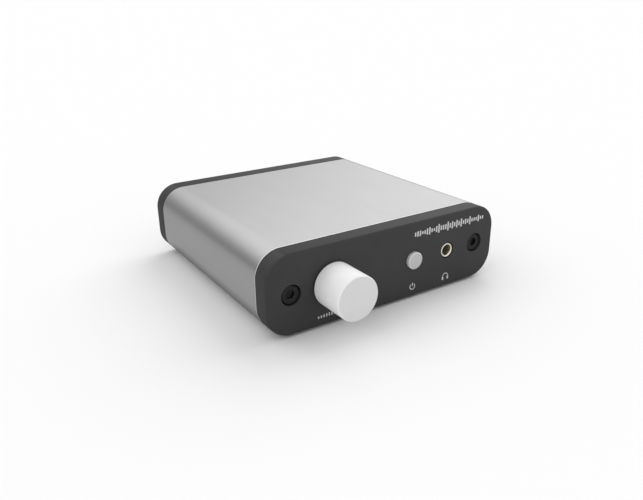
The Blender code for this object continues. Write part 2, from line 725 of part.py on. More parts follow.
def make_usb_socket():
    """A folded steel shell round a moulded insulator, whose tongue carries four contacts."""
    middle_z = PARTS_Z + USB_HEIGHT / 2
    back = SOCKET_FACE - USB_DEPTH
    half_width, half_height = USB_WIDTH / 2, USB_HEIGHT / 2
    outside = rounded_outline(half_width, half_height, 0.6 * MM, 2, (USB_X, middle_z))
    inner_width, inner_height = half_width - USB_SKIN, half_height - USB_SKIN
    inside = rounded_outline(inner_width, inner_height, 0.25 * MM, 2, (USB_X, middle_z))
    prism("usb_shell", [outside, inside], back, SOCKET_FACE, STEEL)

    filling = rounded_outline(inner_width - GAP, inner_height - GAP, 0.2 * MM, 2, (USB_X, middle_z))
    insulator = prism("usb_insulator", [filling], back + GAP, SOCKET_FACE - GAP, BLACK_PLASTIC)
    width, height = USB_PORT[0] / 2, USB_PORT[1] / 2
    chamfer = 1.4 * MM
    port = [
        (USB_X - width, middle_z - height),
        (USB_X + width, middle_z - height),
        (USB_X + width, middle_z + height - chamfer),
        (USB_X + width - chamfer, middle_z + height),
        (USB_X - width + chamfer, middle_z + height),
        (USB_X - width, middle_z + height - chamfer),
    ]
    width, height = USB_TONGUE[0] / 2, USB_TONGUE[1] / 2
    tongue = rounded_outline(width, height, 0.2 * MM, 1, (USB_X, middle_z))
    floor = SOCKET_FACE - USB_PORT_DEPTH
    combine(insulator, prism("usb_port", [port, tongue], floor, SOCKET_FACE + MM, cutter=True))
    tongue_tip = SOCKET_FACE - 1.2 * MM
    clear_x, clear_z = width + 0.7 * MM, height + 0.9 * MM
    low = (USB_X - clear_x, tongue_tip, middle_z - clear_z)
    high = (USB_X + clear_x, REAR_Y + MM, middle_z + clear_z)
    combine(insulator, block("usb_tongue_end", low, high, cutter=True))

    number = 1
    for level in (1, -1):
        for side in (-1, 1):
            x = USB_X + side * USB_CONTACT_PITCH / 2
            near = middle_z + level * (USB_TONGUE[1] / 2 + 0.1 * MM)
            outer = near + level * 0.25 * MM
            low = (x - 0.5 * MM, floor + 0.4 * MM, min(near, outer))
            high = (x + 0.5 * MM, tongue_tip - 0.8 * MM, max(near, outer))
            block(f"usb_contact_{number}", low, high, GOLD)
            number += 1


# Optical socket -----------------------------------------------------------------------------------

OPTICAL_TOP = PARTS_Z + 11.4 * MM
MOUTH_LOW = PARTS_Z + 1.4 * MM
CAVITY_HALF = 4.35 * MM
HINGE_Y = SOCKET_FACE - 1.9 * MM
HINGE_Z = MOUTH_LOW + OPTICAL_MOUTH[1] + 0.9 * MM
FLAP_LENGTH = HINGE_Z - MOUTH_LOW + 0.15 * MM


def make_optical_socket():
    """A moulded housing: a keyed mouth, a cavity for the plug and its shutter, a bore for the plug's fibre
    and, behind the bore, the receiver in its pocket."""
    back = SOCKET_FACE - OPTICAL_DEPTH
    low = (OPTICAL_X - OPTICAL_WIDTH / 2, back, PARTS_Z)
    high = (OPTICAL_X + OPTICAL_WIDTH / 2, SOCKET_FACE, OPTICAL_TOP)
    housing = block("optical_housing", low, high, BLACK_PLASTIC)

    half, top = OPTICAL_MOUTH[0] / 2, MOUTH_LOW + OPTICAL_MOUTH[1]
    chamfer = 1.5 * MM
    mouth = [
        (OPTICAL_X - half, MOUTH_LOW),
        (OPTICAL_X + half, MOUTH_LOW),
        (OPTICAL_X + half, top - chamfer),
        (OPTICAL_X + half - chamfer, top),
        (OPTICAL_X - half + chamfer, top),
        (OPTICAL_X - half, top - chamfer),
    ]
    combine(housing, prism("optical_mouth", [mouth], SOCKET_FACE - 2 * MM, SOCKET_FACE + MM, cutter=True))

    cavity_back = HINGE_Y - FLAP_LENGTH - 0.4 * MM
    low = (OPTICAL_X - CAVITY_HALF, cavity_back, MOUTH_LOW - 0.5 * MM)
    high = (OPTICAL_X + CAVITY_HALF, SOCKET_FACE - MM, HINGE_Z + BARREL_RADIUS + GAP)
    combine(housing, block("optical_cavity", low, high, cutter=True))
    centre_z = MOUTH_LOW + OPTICAL_MOUTH[1] / 2
    combine(housing, bore("fibre_bore", FIBRE_RADIUS, back + MM, cavity_back + MM, OPTICAL_X, centre_z))
    receiver_back = back + 2.5 * MM
    half = RECEIVER_HALF + GAP
    low = (OPTICAL_X - half, back - MM, centre_z - half)
    high = (OPTICAL_X + half, receiver_back + GAP, centre_z + half)
    combine(housing, block("receiver_pocket", low, high, cutter=True))
    pin_end = CAVITY_HALF + 0.4 * MM
    low_x, high_x = OPTICAL_X - pin_end, OPTICAL_X + pin_end
    combine(housing, cross_rod("hinge_hole", HINGE_PIN_RADIUS + RUNNING, low_x, high_x, cutter=True))
    smooth(cross_rod("shutter_pin", HINGE_PIN_RADIUS, low_x + 0.1 * MM, high_x - 0.1 * MM, STEEL))

    low = (OPTICAL_X - RECEIVER_HALF, back + GAP, centre_z - RECEIVER_HALF)
    high = (OPTICAL_X + RECEIVER_HALF, receiver_back, centre_z + RECEIVER_HALF)
    block("optical_receiver", low, high, BLACK_PLASTIC, bevel=0.2 * MM)


def cross_rod(name, radius, low_x, high_x, finish=None, sides=12, cutter=False):
    """A cylinder along X on the shutter's hinge line."""
    middle = ((low_x + high_x) / 2, HINGE_Y, HINGE_Z)
    return cylinder(name, radius, high_x - low_x, middle, (0, math.pi / 2, 0), finish, sides, cutter)


def make_shutter():
    """The dust shutter: a flap hanging from a barrel on the hinge pin, with a torsion spring beside it."""
    low_x, high_x = OPTICAL_X - CAVITY_HALF + GAP, OPTICAL_X + CAVITY_HALF - GAP
    barrel_end = high_x - 2.1 * MM
    front, back = HINGE_Y + BARREL_RADIUS, HINGE_Y + BARREL_RADIUS - SHUTTER_THICKNESS
    flap_top = HINGE_Z - BARREL_RADIUS - 0.2 * MM
    low, high = (low_x, back, HINGE_Z - FLAP_LENGTH), (high_x, front, flap_top)
    shutter = block("optical_shutter", low, high, BLACK_PLASTIC)
    web = block("shutter_web", (low_x, back, flap_top - GAP), (barrel_end, front, HINGE_Z), cutter=True)
    combine(shutter, web, "UNION")
    barrel = cross_rod("shutter_barrel", BARREL_RADIUS, low_x, barrel_end, sides=16, cutter=True)
    combine(shutter, barrel, "UNION")
    running = HINGE_PIN_RADIUS + RUNNING
    combine(shutter, cross_rod("barrel_bore", running, low_x - MM, barrel_end + MM, cutter=True))

    radius, thickness = 0.5 * MM, 0.1 * MM
    start, end = barrel_end + 0.4 * MM, high_x - 0.2 * MM
    turns, steps = 3, 24
    points = [(start, back - thickness - 0.15 * MM, flap_top - 1.6 * MM)]
    for i in range(steps + 1):
        turn = math.pi + 2 * math.pi * turns * i / steps
        x = start + (end - start) * i / steps
        points.append((x, HINGE_Y + radius * math.cos(turn), HINGE_Z + radius * math.sin(turn)))
    spring = wire("shutter_spring", points, thickness, STEEL)
    smooth(spring)
    pivot("shutter_axis", (OPTICAL_X, HINGE_Y, HINGE_Z), (shutter, spring))


# Phono sockets ------------------------------------------------------------------------------------


def make_phono_sockets():
    """A moulded block that holds two sockets, each a gold shell round an insulator and a centre contact."""
    block_front = REAR_Y - REAR_THICKNESS - GAP
    margin = 6.5 * MM
    low = (PHONO_XS["left"] - margin, block_front - PHONO_BLOCK_DEPTH, PARTS_Z)
    high = (PHONO_XS["right"] + margin, block_front, AXIS_Z + 5.6 * MM)
    body = block("phono_block", low, high, BLACK_PLASTIC, bevel=0.3 * MM)
    seat = block_front - 2.6 * MM
    tail = seat - 3.2 * MM
    end = REAR_Y + PHONO_REACH
    around = PHONO_RADIUS + GAP
    for side, x in PHONO_XS.items():
        colour = {"left": WHITE_PLASTIC, "right": RED_PLASTIC}[side]
        name = f"phono_{side}"
        combine(body, bore(f"{name}_seat", around, seat, block_front + MM, x, sides=28))
        combine(body, bore(f"{name}_tail", PHONO_CONTACT[0] + GAP, tail - GAP, seat + MM, x))
        near = seat + GAP
        smooth(tube(f"{name}_shell", PHONO_RADIUS, 3.5 * MM, near, end, x, GOLD, 36))
        smooth(tube(f"{name}_insulator", *PHONO_INSULATOR, near, end - 0.7 * MM, x, colour, 28))
        smooth(tube(f"{name}_contact", *PHONO_CONTACT, tail, end - 1.3 * MM, x, GOLD))
        near, far = REAR_Y + GAP, REAR_Y + 1.2 * MM
        smooth(tube(f"{name}_collar", PHONO_COLLAR_RADIUS, around, near, far, x, colour, 36))


# Circuit board ------------------------------------------------------------------------------------

CHIPS = {  # name: (x, y, width, depth, height), in millimetres
    "usb_receiver_chip": (-22.5, 18.0, 7.0, 7.0, 1.2),
    "optical_receiver_chip": (-7.0, 20.5, 7.0, 7.0, 1.2),
    "converter_chip": (14.5, 17.5, 10.2, 5.3, 1.8),
    "headphone_driver_chip": (24.0, -13.5, 5.0, 6.2, 1.6),
    "voltage_regulator": (-34.0, 27.0, 6.5, 3.6, 1.8),
}
CAPACITORS = {  # name: (x, y, radius, height), in millimetres
    "output_capacitor_left": (16.0, 5.0, 5.0, 11.0),
    "output_capacitor_right": (26.8, 5.0, 5.0, 11.0),
    "supply_capacitor_1": (-29.0, 4.0, 4.0, 10.5),
    "supply_capacitor_2": (-20.0, 4.0, 4.0, 10.5),
    "supply_capacitor_3": (-29.0, -10.0, 4.0, 10.5),
    "supply_capacitor_4": (-20.0, -10.0, 4.0, 10.5),
}


def make_board():
    low = (-BOARD_HALF_WIDTH, SLEEVE_FRONT + GAP, BOARD_TOP - BOARD_THICKNESS)
    high = (BOARD_HALF_WIDTH, SLEEVE_REAR - GAP, BOARD_TOP)
    block("circuit_board", low, high, BOARD_GREEN)


def make_chips():
    for name, (x, y, width, depth, height) in CHIPS.items():
        low = ((x - width / 2) * MM, (y - depth / 2) * MM, PARTS_Z)
        high = ((x + width / 2) * MM, (y + depth / 2) * MM, PARTS_Z + height * MM)
        block(name, low, high, BLACK_PLASTIC, bevel=0.15 * MM)


def make_capacitors():
    """Round electrolytic capacitors, with the crimp near the foot of each can."""
    for name, (x, y, radius, height) in CAPACITORS.items():
        radius, height = radius * MM, height * MM
        crimp = 0.35 * MM
        profile = [
            (0, height),
            (radius - 0.4 * MM, height),
            (radius, height - 0.4 * MM),
            (radius, 2.2 * MM),
            (radius - crimp, 1.7 * MM),
            (radius, 1.2 * MM),
            (radius, 0),
            (0, 0),
        ]
        smooth(turned(name, profile, (x * MM, y * MM, PARTS_Z), "up", CAN, SMALL_ROUND))


def make_crystal():
    """The clock crystal: a low can with round ends."""
    half_length, half_width, height = 5.4 * MM, 2.3 * MM, 3.0 * MM
    outline = rounded_outline(half_length, half_width, half_width * 0.98, 6, (0.0, 0.0))
    crystal = prism("clock_crystal", [outline], -height / 2, height / 2, STEEL)
    crystal.location = (-30.8 * MM, 16.0 * MM, PARTS_Z + height / 2)
    crystal.rotation_euler = (0, 0, math.pi / 2)


make_sleeve()
make_front_panel()
make_rear_panel()
make_screws()
make_feet()
make_volume_control()
make_power_button()
make_headphone_socket()
make_usb_socket()
make_optical_socket()
make_shutter()
make_phono_sockets()
make_board()
make_chips()
make_capacitors()
make_crystal()
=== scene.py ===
"""The looks of a small desktop headphone amplifier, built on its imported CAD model.

Metres, +Z up, +X to the right as seen from the front, and the front panel facing -Y.
"""

import json
import math

import bmesh
import bpy
from mathutils import Matrix, Vector

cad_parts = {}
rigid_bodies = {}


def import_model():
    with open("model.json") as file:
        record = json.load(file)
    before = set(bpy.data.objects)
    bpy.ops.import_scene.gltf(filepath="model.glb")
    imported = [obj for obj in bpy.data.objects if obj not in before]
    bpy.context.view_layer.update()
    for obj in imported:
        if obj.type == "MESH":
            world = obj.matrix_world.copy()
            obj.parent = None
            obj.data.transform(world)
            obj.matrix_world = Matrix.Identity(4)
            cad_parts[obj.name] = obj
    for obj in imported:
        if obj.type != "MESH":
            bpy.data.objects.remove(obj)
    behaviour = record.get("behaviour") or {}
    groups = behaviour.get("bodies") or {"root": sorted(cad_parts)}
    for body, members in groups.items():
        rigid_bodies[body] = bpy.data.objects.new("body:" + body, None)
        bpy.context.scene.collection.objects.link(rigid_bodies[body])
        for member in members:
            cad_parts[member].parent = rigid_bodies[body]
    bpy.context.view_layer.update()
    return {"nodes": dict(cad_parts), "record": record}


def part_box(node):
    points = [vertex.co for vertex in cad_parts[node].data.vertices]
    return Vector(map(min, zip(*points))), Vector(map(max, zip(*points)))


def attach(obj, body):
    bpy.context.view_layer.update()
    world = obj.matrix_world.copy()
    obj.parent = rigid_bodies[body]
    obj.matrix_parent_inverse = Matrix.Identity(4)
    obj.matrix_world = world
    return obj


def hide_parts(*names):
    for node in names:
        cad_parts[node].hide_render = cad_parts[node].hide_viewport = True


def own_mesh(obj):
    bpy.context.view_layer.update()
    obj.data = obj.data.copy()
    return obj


for old in list(bpy.data.objects):
    bpy.data.objects.remove(old, do_unlink=True)

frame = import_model()

MM = 0.001
TAU = 2 * math.pi
WELD = 0.001 * MM  # corners nearer each other than this are one
SHARP = math.radians(32)  # edges that turn by more than this are drawn sharp


class Place:
    """Where a CAD node is: its box's two corners and its middle, each as (x, y, z)."""

    def __init__(self, node):
        self.low, self.high = (Vector(corner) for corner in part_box(node))
        self.mid = (self.low + self.high) / 2
        self.size = self.high - self.low


SLEEVE = Place("sleeve")
FRONT = Place("front_panel")
REAR = Place("rear_panel")
KNOB = Place("volume_knob")
BUTTON = Place("power_button")
FERRULE = Place("jack_ferrule")

CASE_MIDDLE = (FRONT.low + REAR.high) / 2
MID_Z = CASE_MIDDLE.z
HALF_WIDTH = FRONT.size.x / 2
HALF_HEIGHT = FRONT.size.z / 2
FRONT_Y = FRONT.low.y
REAR_Y = REAR.high.y
AXIS_Z = KNOB.mid.z
CORNER_RADIUS = 8.4 * MM
WALL = 1.6 * MM
PANEL_ROUNDING = 0.5 * MM
CUT_EDGE = 0.2 * MM  # how wide the broken edge at each end of the sleeve is
PANEL_GAP = 0.2 * MM  # between the sleeve and each end panel, which the sleeve's skin closes
BUTTON_RADIUS = 2.87 * MM
JACK_BORE = 1.8 * MM


# Geometry -------------------------------------------------


def add(name, mesh, location=(0, 0, 0), rotation=(0, 0, 0)):
    made = bpy.data.objects.new(name, mesh)
    made.location = location
    made.rotation_euler = rotation
    bpy.context.scene.collection.objects.link(made)
    return made


def from_bmesh(name, shape, location=(0, 0, 0), rotation=(0, 0, 0)):
    mesh = bpy.data.meshes.new(name)
    bmesh.ops.recalc_face_normals(shape, faces=shape.faces)
    shape.to_mesh(mesh)
    shape.free()
    return add(name, mesh, location, rotation)


def block(name, low, high):
    """A box between two corners, which the pieces below bevel, cut or join."""
    low, high = Vector(low), Vector(high)
    shape = bmesh.new()
    bmesh.ops.create_cube(shape, size=1.0, matrix=Matrix.Diagonal((*(high - low), 1.0)))
    return from_bmesh(name, shape, (low + high) / 2)


FACINGS = {"front": (math.pi / 2, 0, 0), "rear": (-math.pi / 2, 0, 0), "up": (0, 0, 0)}


def softened(corners, closed):
    """A profile with its corners rounded. Each corner is (radius, height) or (radius, height, rounding)."""
    points = []
    count, steps = len(corners), 4
    for i, corner in enumerate(corners):
        here = Vector(corner[:2])
        rounding = corner[2] if len(corner) > 2 else 0
        if not rounding or (not closed and i in (0, count - 1)):
            points.append(here)
            continue
        before = (Vector(corners[i - 1][:2]) - here).normalized()
        after = (Vector(corners[(i + 1) % count][:2]) - here).normalized()
        start, end = here + before * rounding, here + after * rounding
        for step in range(steps + 1):
            t = step / steps
            points.append(start * (1 - t) ** 2 + here * 2 * t * (1 - t) + end * t**2)
    return points


def turned(name, corners, location, facing, sides=96, ring=False):
    """A turned piece. Its profile's height runs towards the facing, and a ring's profile is closed."""
    circle = arc((0, 0), 1, 0, TAU, sides)[:-1]
    shape = bmesh.new()
    rows = []
    for radius, height in softened(corners, ring):
        if radius < WELD:
            rows.append([shape.verts.new((0, 0, height))] * sides)
        else:
            rows.append([shape.verts.new((radius * x, radius * y, height)) for x, y in circle])
    bands = list(zip(rows, rows[1:]))
    if ring:
        bands.append((rows[-1], rows[0]))
    for low, high in bands:
        for i in range(sides):
            face = list(dict.fromkeys((low[i - 1], low[i], high[i], high[i - 1])))
            if len(face) > 2:
                shape.faces.new(face)
    bmesh.ops.remove_doubles(shape, verts=shape.verts, dist=WELD)
    return from_bmesh(name, shape, location, FACINGS[facing])


def cylinder(radius, height):
    """The profile of a plain cylinder."""
    return [(0, height), (radius, height), (radius, 0), (0, 0)]


def rod(name, radius, near, far, x, z):
    """A plain cylinder along Y, to cut with."""
    return turned(name, cylinder(radius, far - near), (x, near, z), "rear", 64)


def evaluated_mesh(source):
    """A new mesh of the object as its modifiers or its curve settings make it."""
    bpy.context.view_layer.update()
    return bpy.data.meshes.new_from_object(source.evaluated_get(bpy.context.evaluated_depsgraph_get()))


def flat_faced(mesh):
    """The mesh with its doubled corners welded and each flat side made one face."""
    shape = bmesh.new()
    shape.from_mesh(mesh)
    bmesh.ops.remove_doubles(shape, verts=shape.verts, dist=WELD)
    bmesh.ops.dissolve_limit(shape, angle_limit=0.001, verts=shape.verts, edges=shape.edges)
    return shape


def gather(shape, part):
    """Adds the part's faces to the shape, where the part stands, and removes the part."""
    part.data.transform(part.matrix_basis)
    shape.from_mesh(part.data)
    bpy.data.objects.remove(part, do_unlink=True)


def prism(name, outlines, near, far):
    """A solid along Y whose outlines are closed lists of (x, z), the inner ones being holes."""
    curve = bpy.data.curves.new(name, "CURVE")
    curve.dimensions = "2D"
    curve.fill_mode = "BOTH"
    curve.extrude = (far - near) / 2
    for outline in outlines:
        spline = curve.splines.new("POLY")
        spline.points.add(len(outline) - 1)
        for point, (x, z) in zip(spline.points, outline):
            point.co = (x, z, 0, 1)
        spline.use_cyclic_u = True
    guide = add(name + "_guide", curve)
    mesh = evaluated_mesh(guide)
    bpy.data.objects.remove(guide, do_unlink=True)
    shape = flat_faced(mesh)
    bpy.data.meshes.remove(mesh)
    return from_bmesh(name, shape, (0, (near + far) / 2, 0), FACINGS["front"])


def arc(centre, radius, start, end, steps):
    angles = [start + (end - start) * i / steps for i in range(steps + 1)]
    return [(centre[0] + radius * math.cos(a), centre[1] + radius * math.sin(a)) for a in angles]


def rounded_outline(half_width, half_height, radius, steps=20, centre=(0.0, MID_Z)):
    points = []
    for quarter, (side, level) in enumerate(((1, -1), (1, 1), (-1, 1), (-1, -1))):
        middle = (centre[0] + side * (half_width - radius), centre[1] + level * (half_height - radius))
        start = (quarter - 1) * math.pi / 2
        points += arc(middle, radius, start, start + math.pi / 2, steps)
    return points


def bevel(piece, width, segments=3, angle=50):
    rounding = piece.modifiers.new("rounding", "BEVEL")
    rounding.width = width
    rounding.segments = segments
    rounding.limit_method = "ANGLE"
    rounding.angle_limit = math.radians(angle)


def combine(piece, other, operation="DIFFERENCE"):
    """Cuts the other object from the piece, or joins it on, and removes the other."""
    boolean = piece.modifiers.new(other.name, "BOOLEAN")
    boolean.operation = operation
    boolean.object = other
    boolean.solver = "EXACT"
    apply_modifiers(piece)
    bpy.data.objects.remove(other, do_unlink=True)


def apply_modifiers(piece):
    mesh = evaluated_mesh(piece)
    piece.modifiers.clear()
    piece.data = mesh
    mesh.name = piece.name


def settle(piece):
    """Applies what the piece was shaped with, and shades its rounded faces smooth and its flats flat."""
    apply_modifiers(piece)
    piece.data.shade_smooth()
    piece.data.set_sharp_from_angle(angle=SHARP)
    weighted = piece.modifiers.new("weighted", "WEIGHTED_NORMAL")
    weighted.keep_sharp = True


def belongs(piece, body, slot, *nodes, material=None):
    """Gives a settled piece its body, its slot with the finish, and the CAD nodes it stands for."""
    settle(piece)
    piece.data.materials.clear()
    piece.data.materials.append(material or FINISHES[slot])
    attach(piece, body)
    if nodes:
        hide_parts(*nodes)


# Materials ------------------------------------------------


class Nodes:
    """A Principled material under construction. Lengths are metres, in the piece's own coordinates."""

    def __init__(self, name, colour, roughness, metallic=0.0, **sockets):
        self.material = bpy.data.materials.new(name)
        self.material.use_nodes = True
        self.tree = self.material.node_tree
        self.shader = self.tree.nodes["Principled BSDF"]
        self.shader.inputs["Base Color"].default_value = (*colour, 1)
        self.shader.inputs["Roughness"].default_value = roughness
        self.shader.inputs["Metallic"].default_value = metallic
        for socket, value in sockets.items():
            self.shader.inputs[socket.replace("_", " ")].default_value = value
        self.place = self.tree.nodes.new("ShaderNodeTexCoord").outputs["Object"]
        self.normal = None

    def node(self, kind, **settings):
        made = self.tree.nodes.new(kind)
        for key, value in settings.items():
            setattr(made, key, value)
        return made

    def axes(self):
        """The piece's own x, y and z."""
        apart = self.node("ShaderNodeSeparateXYZ")
        self.tree.links.new(self.place, apart.inputs["Vector"])
        return [apart.outputs[axis] for axis in "XYZ"]

    def stretched(self, scale):
        """The piece's coordinates, scaled along each axis, in features per metre."""
        mapping = self.node("ShaderNodeMapping")
        mapping.inputs["Scale"].default_value = scale
        self.tree.links.new(self.place, mapping.inputs["Vector"])
        return mapping.outputs["Vector"]

    def noise(self, size, detail=3, stretch=(1, 1, 1)):
        """Noise from 0 to 1 with features of about the size, longer where the stretch is over 1."""
        texture = self.node("ShaderNodeTexNoise")
        texture.inputs["Scale"].default_value = 1
        texture.inputs["Detail"].default_value = detail
        vector = self.stretched([1 / (size * s) for s in stretch])
        self.tree.links.new(vector, texture.inputs["Vector"])
        return texture.outputs["Fac"]

    def between(self, fac, low, high, start=0.3, end=0.7):
        """A number that goes from low to high as fac goes from start to end."""
        ramp = self.node("ShaderNodeMapRange")
        for socket, value in (("From Min", start), ("From Max", end), ("To Min", low), ("To Max", high)):
            ramp.inputs[socket].default_value = value
        self.tree.links.new(fac, ramp.inputs["Value"])
        return ramp.outputs["Result"]

    def colours(self, fac, *stops):
        """A colour that goes through (position, colour) stops as fac goes from 0 to 1."""
        ramp = self.node("ShaderNodeValToRGB")
        elements = ramp.color_ramp.elements
        while len(elements) < len(stops):
            elements.new(0.5)
        for element, (position, colour) in zip(elements, stops):
            element.position = position
            element.color = (*colour, 1)
        self.tree.links.new(fac, ramp.inputs["Fac"])
        return ramp.outputs["Color"]

    def mottled(self, fac, low, high):
        """A colour that drifts between two near ones with the noise."""
        return self.colours(fac, (0.3, low), (0.7, high))

    def from_axis(self, x, y):
        """The distance from the piece's own Z axis."""
        return self.math("SQRT", self.math("ADD", self.math("MULTIPLY", x, x), self.math("MULTIPLY", y, y)))

    def mixed(self, fac, first, second):
        """The first colour where fac is 0, and the second where it is 1."""
        mix = self.node("ShaderNodeMix", data_type="RGBA")
        self.tree.links.new(fac, mix.inputs["Factor"])
        self.tree.links.new(first, mix.inputs["A"])
        self.tree.links.new(second, mix.inputs["B"])
        return mix.outputs["Result"]

    def math(self, operation, first, second=None):
        made = self.node("ShaderNodeMath", operation=operation)
        for socket, value in zip(made.inputs, (first, second)):
            if value is None:
                continue
            if isinstance(value, (int, float)):
                socket.default_value = value
            else:
                self.tree.links.new(value, socket)
        return made.outputs["Value"]

    def set(self, socket, output):
        self.tree.links.new(output, self.shader.inputs[socket])

    def bump(self, height, depth):
        """Relief from a height of 0 to 1 over the depth, on top of any relief before it."""
        bump = self.node("ShaderNodeBump")
        bump.inputs["Strength"].default_value = 1
        bump.inputs["Distance"].default_value = depth
        self.tree.links.new(height, bump.inputs["Height"])
        if self.normal:
            self.tree.links.new(self.normal, bump.inputs["Normal"])
        self.normal = bump.outputs["Normal"]
        self.tree.links.new(self.normal, self.shader.inputs["Normal"])


def grey(value):
    return (value, value, value)


def satin_aluminium(half_length):
    """Bead-blasted, clear-anodised extrusion: a fine grain, faint die lines along its length, which
    is its own Z, and a broken edge at each cut end, whose near-white tone is a painted highlight."""
    m = Nodes("satin_aluminium", grey(0.62), 0.23, 1.0)
    fade = 0.01 * MM
    from_middle = m.math("ABSOLUTE", m.axes()[2])
    at_end_highlight = m.between(from_middle, 0, 1, half_length - CUT_EDGE - fade, half_length - CUT_EDGE + fade)
    cloud = m.noise(9 * MM, 4, (1, 1, 3))
    blasted = m.mottled(cloud, grey(0.61), grey(0.63))
    # Painted highlight: the broken edge at each cut end is given a near-white tone.
    cut = m.mottled(cloud, grey(0.9), grey(0.94))
    m.set("Base Color", m.mixed(at_end_highlight, blasted, cut))
    grain = m.noise(0.22 * MM, 3)
    m.set("Roughness", m.between(grain, 0.2, 0.27))
    m.bump(grain, 0.003 * MM)
    m.bump(m.noise(0.5 * MM, 2, (1, 1, 120)), 0.002 * MM)
    return m.material


def turned_aluminium(name, length, edge, side_tone, face_tone, cut_highlight_tone, face_metallic):
    """Clear-anodised aluminium. The side is blasted pale and matt. The face is spun, with faint
    rings, and a fine cut runs round its edge, whose own tone is a painted highlight. The length is
    the piece's, and the edge is where the face ends."""
    m = Nodes(name, grey(side_tone), 0.5, 0.0)
    x, y, z = m.axes()
    radius = m.from_axis(x, y)
    on_face = m.between(z, 0, 1, length - 0.06 * MM, length - 0.03 * MM)
    past_face = m.between(radius, 0, 1, edge, edge + 0.02 * MM)
    on_cut_highlight = m.math("MULTIPLY", m.between(z, 0, 1, length - 0.3 * MM, length - 0.27 * MM), past_face)

    cloud = m.noise(3 * MM, 3)
    blasted = m.mottled(cloud, grey(side_tone - 0.015), grey(side_tone + 0.015))
    spun = m.mottled(cloud, grey(face_tone - 0.01), grey(face_tone + 0.01))
    # Painted highlight: the fine cut round the face's edge gets its own, paler tone.
    cut = m.mottled(cloud, grey(cut_highlight_tone - 0.015), grey(cut_highlight_tone + 0.015))
    m.set("Base Color", m.mixed(on_cut_highlight, m.mixed(on_face, blasted, spun), cut))
    m.set("Metallic", m.math("MULTIPLY", on_face, face_metallic))
    m.set("Roughness", m.between(m.noise(0.3 * MM, 3), 0.42, 0.52))
    rings = m.math("SINE", m.math("MULTIPLY", radius, TAU / (0.11 * MM)))
    m.bump(m.math("MULTIPLY", rings, on_face), 0.001 * MM)
    m.bump(m.noise(0.2 * MM, 3), 0.002 * MM)
    return m.material


def black_coating():
    """Satin black coating on the end panels, with a very fine leathery grain. The top of the rim
    has painted shade, going from near black on the left to dark grey on the right as the light falls."""
    m = Nodes("black_panel", grey(0.04), 0.5, 0.0, Specular_IOR_Level=0.35)
    cloud = m.noise(12 * MM, 4)
    face = m.mottled(cloud, grey(0.032), grey(0.038))
    x, height, _ = m.axes()
    across = m.between(x, 0, 1, -HALF_WIDTH, HALF_WIDTH)
    # Painted shade: the rim's top darkens towards the left, where less light falls on it.
    rim = m.colours(across, (0.1, grey(0.012)), (0.8, grey(0.036)))
    top = MID_Z + HALF_HEIGHT
    on_shaded_rim_top = m.between(height, 0, 1, top - 0.3 * MM, top - 0.05 * MM)
    m.set("Base Color", m.mixed(on_shaded_rim_top, face, rim))
    grain = m.noise(0.18 * MM, 3)
    m.set("Roughness", m.between(grain, 0.48, 0.6))
    m.bump(grain, 0.008 * MM)
    return m.material


def black_oxide():
    m = Nodes("black_steel", grey(0.02), 0.45, 0.6)
    wear = m.noise(0.9 * MM, 4)
    m.set("Base Color", m.colours(wear, (0.35, grey(0.014)), (0.75, grey(0.024))))
    m.set("Roughness", m.between(wear, 0.4, 0.55))
    m.bump(m.noise(0.12 * MM, 2), 0.003 * MM)
    return m.material


def moulded(name, low, high, roughness=0.45):
    """Moulded plastic with a fine spark-eroded grain."""
    m = Nodes(name, low, roughness)
    cloud = m.noise(2.5 * MM, 3)
    m.set("Base Color", m.mottled(cloud, low, high))
    fine = m.noise(0.15 * MM, 2)
    m.set("Roughness", m.between(fine, roughness - 0.06, roughness + 0.08))
    m.bump(fine, 0.006 * MM)
    return m.material


def rubber():
    m = Nodes("rubber", grey(0.025), 0.75)
    cloud = m.noise(1.5 * MM, 4)
    m.set("Base Color", m.mottled(cloud, grey(0.02), grey(0.045)))
    m.set("Roughness", m.between(cloud, 0.68, 0.85))
    m.bump(m.noise(0.25 * MM, 3), 0.02 * MM)
    return m.material


def plated(name, low, high, roughness):
    """Plated metal: slightly uneven in tone, with fine handling marks."""
    m = Nodes(name, low, roughness, 0.95)
    cloud = m.noise(1.8 * MM, 4)
    m.set("Base Color", m.mottled(cloud, low, high))
    m.set("Roughness", m.between(m.noise(0.4 * MM, 3), roughness - 0.05, roughness + 0.08))
    m.bump(m.noise(0.15 * MM, 2), 0.0004 * MM)
    return m.material


def printed_ink():
    m = Nodes("printed_ink", grey(0.6), 0.5)
    speckle = m.noise(0.12 * MM, 2)
    m.set("Base Color", m.mottled(speckle, grey(0.57), grey(0.66)))
    m.set("Roughness", m.between(speckle, 0.45, 0.6))
    return m.material


def board_mask():
    """Green solder mask over copper tracks, which show as a slightly lighter relief."""
    m = Nodes("board_green", (0.012, 0.09, 0.04), 0.35)
    tracks = m.node("ShaderNodeTexVoronoi", feature="DISTANCE_TO_EDGE", distance="CHEBYCHEV")
    tracks.inputs["Scale"].default_value = 1
    m.tree.links.new(m.stretched([1 / (2.6 * MM)] * 3), tracks.inputs["Vector"])
    copper = m.between(tracks.outputs["Distance"], 1, 0, 0.06, 0.09)
    m.set("Base Color", m.colours(copper, (0.0, (0.012, 0.085, 0.038)), (1.0, (0.02, 0.15, 0.06))))
    m.bump(copper, 0.03 * MM)
    return m.material


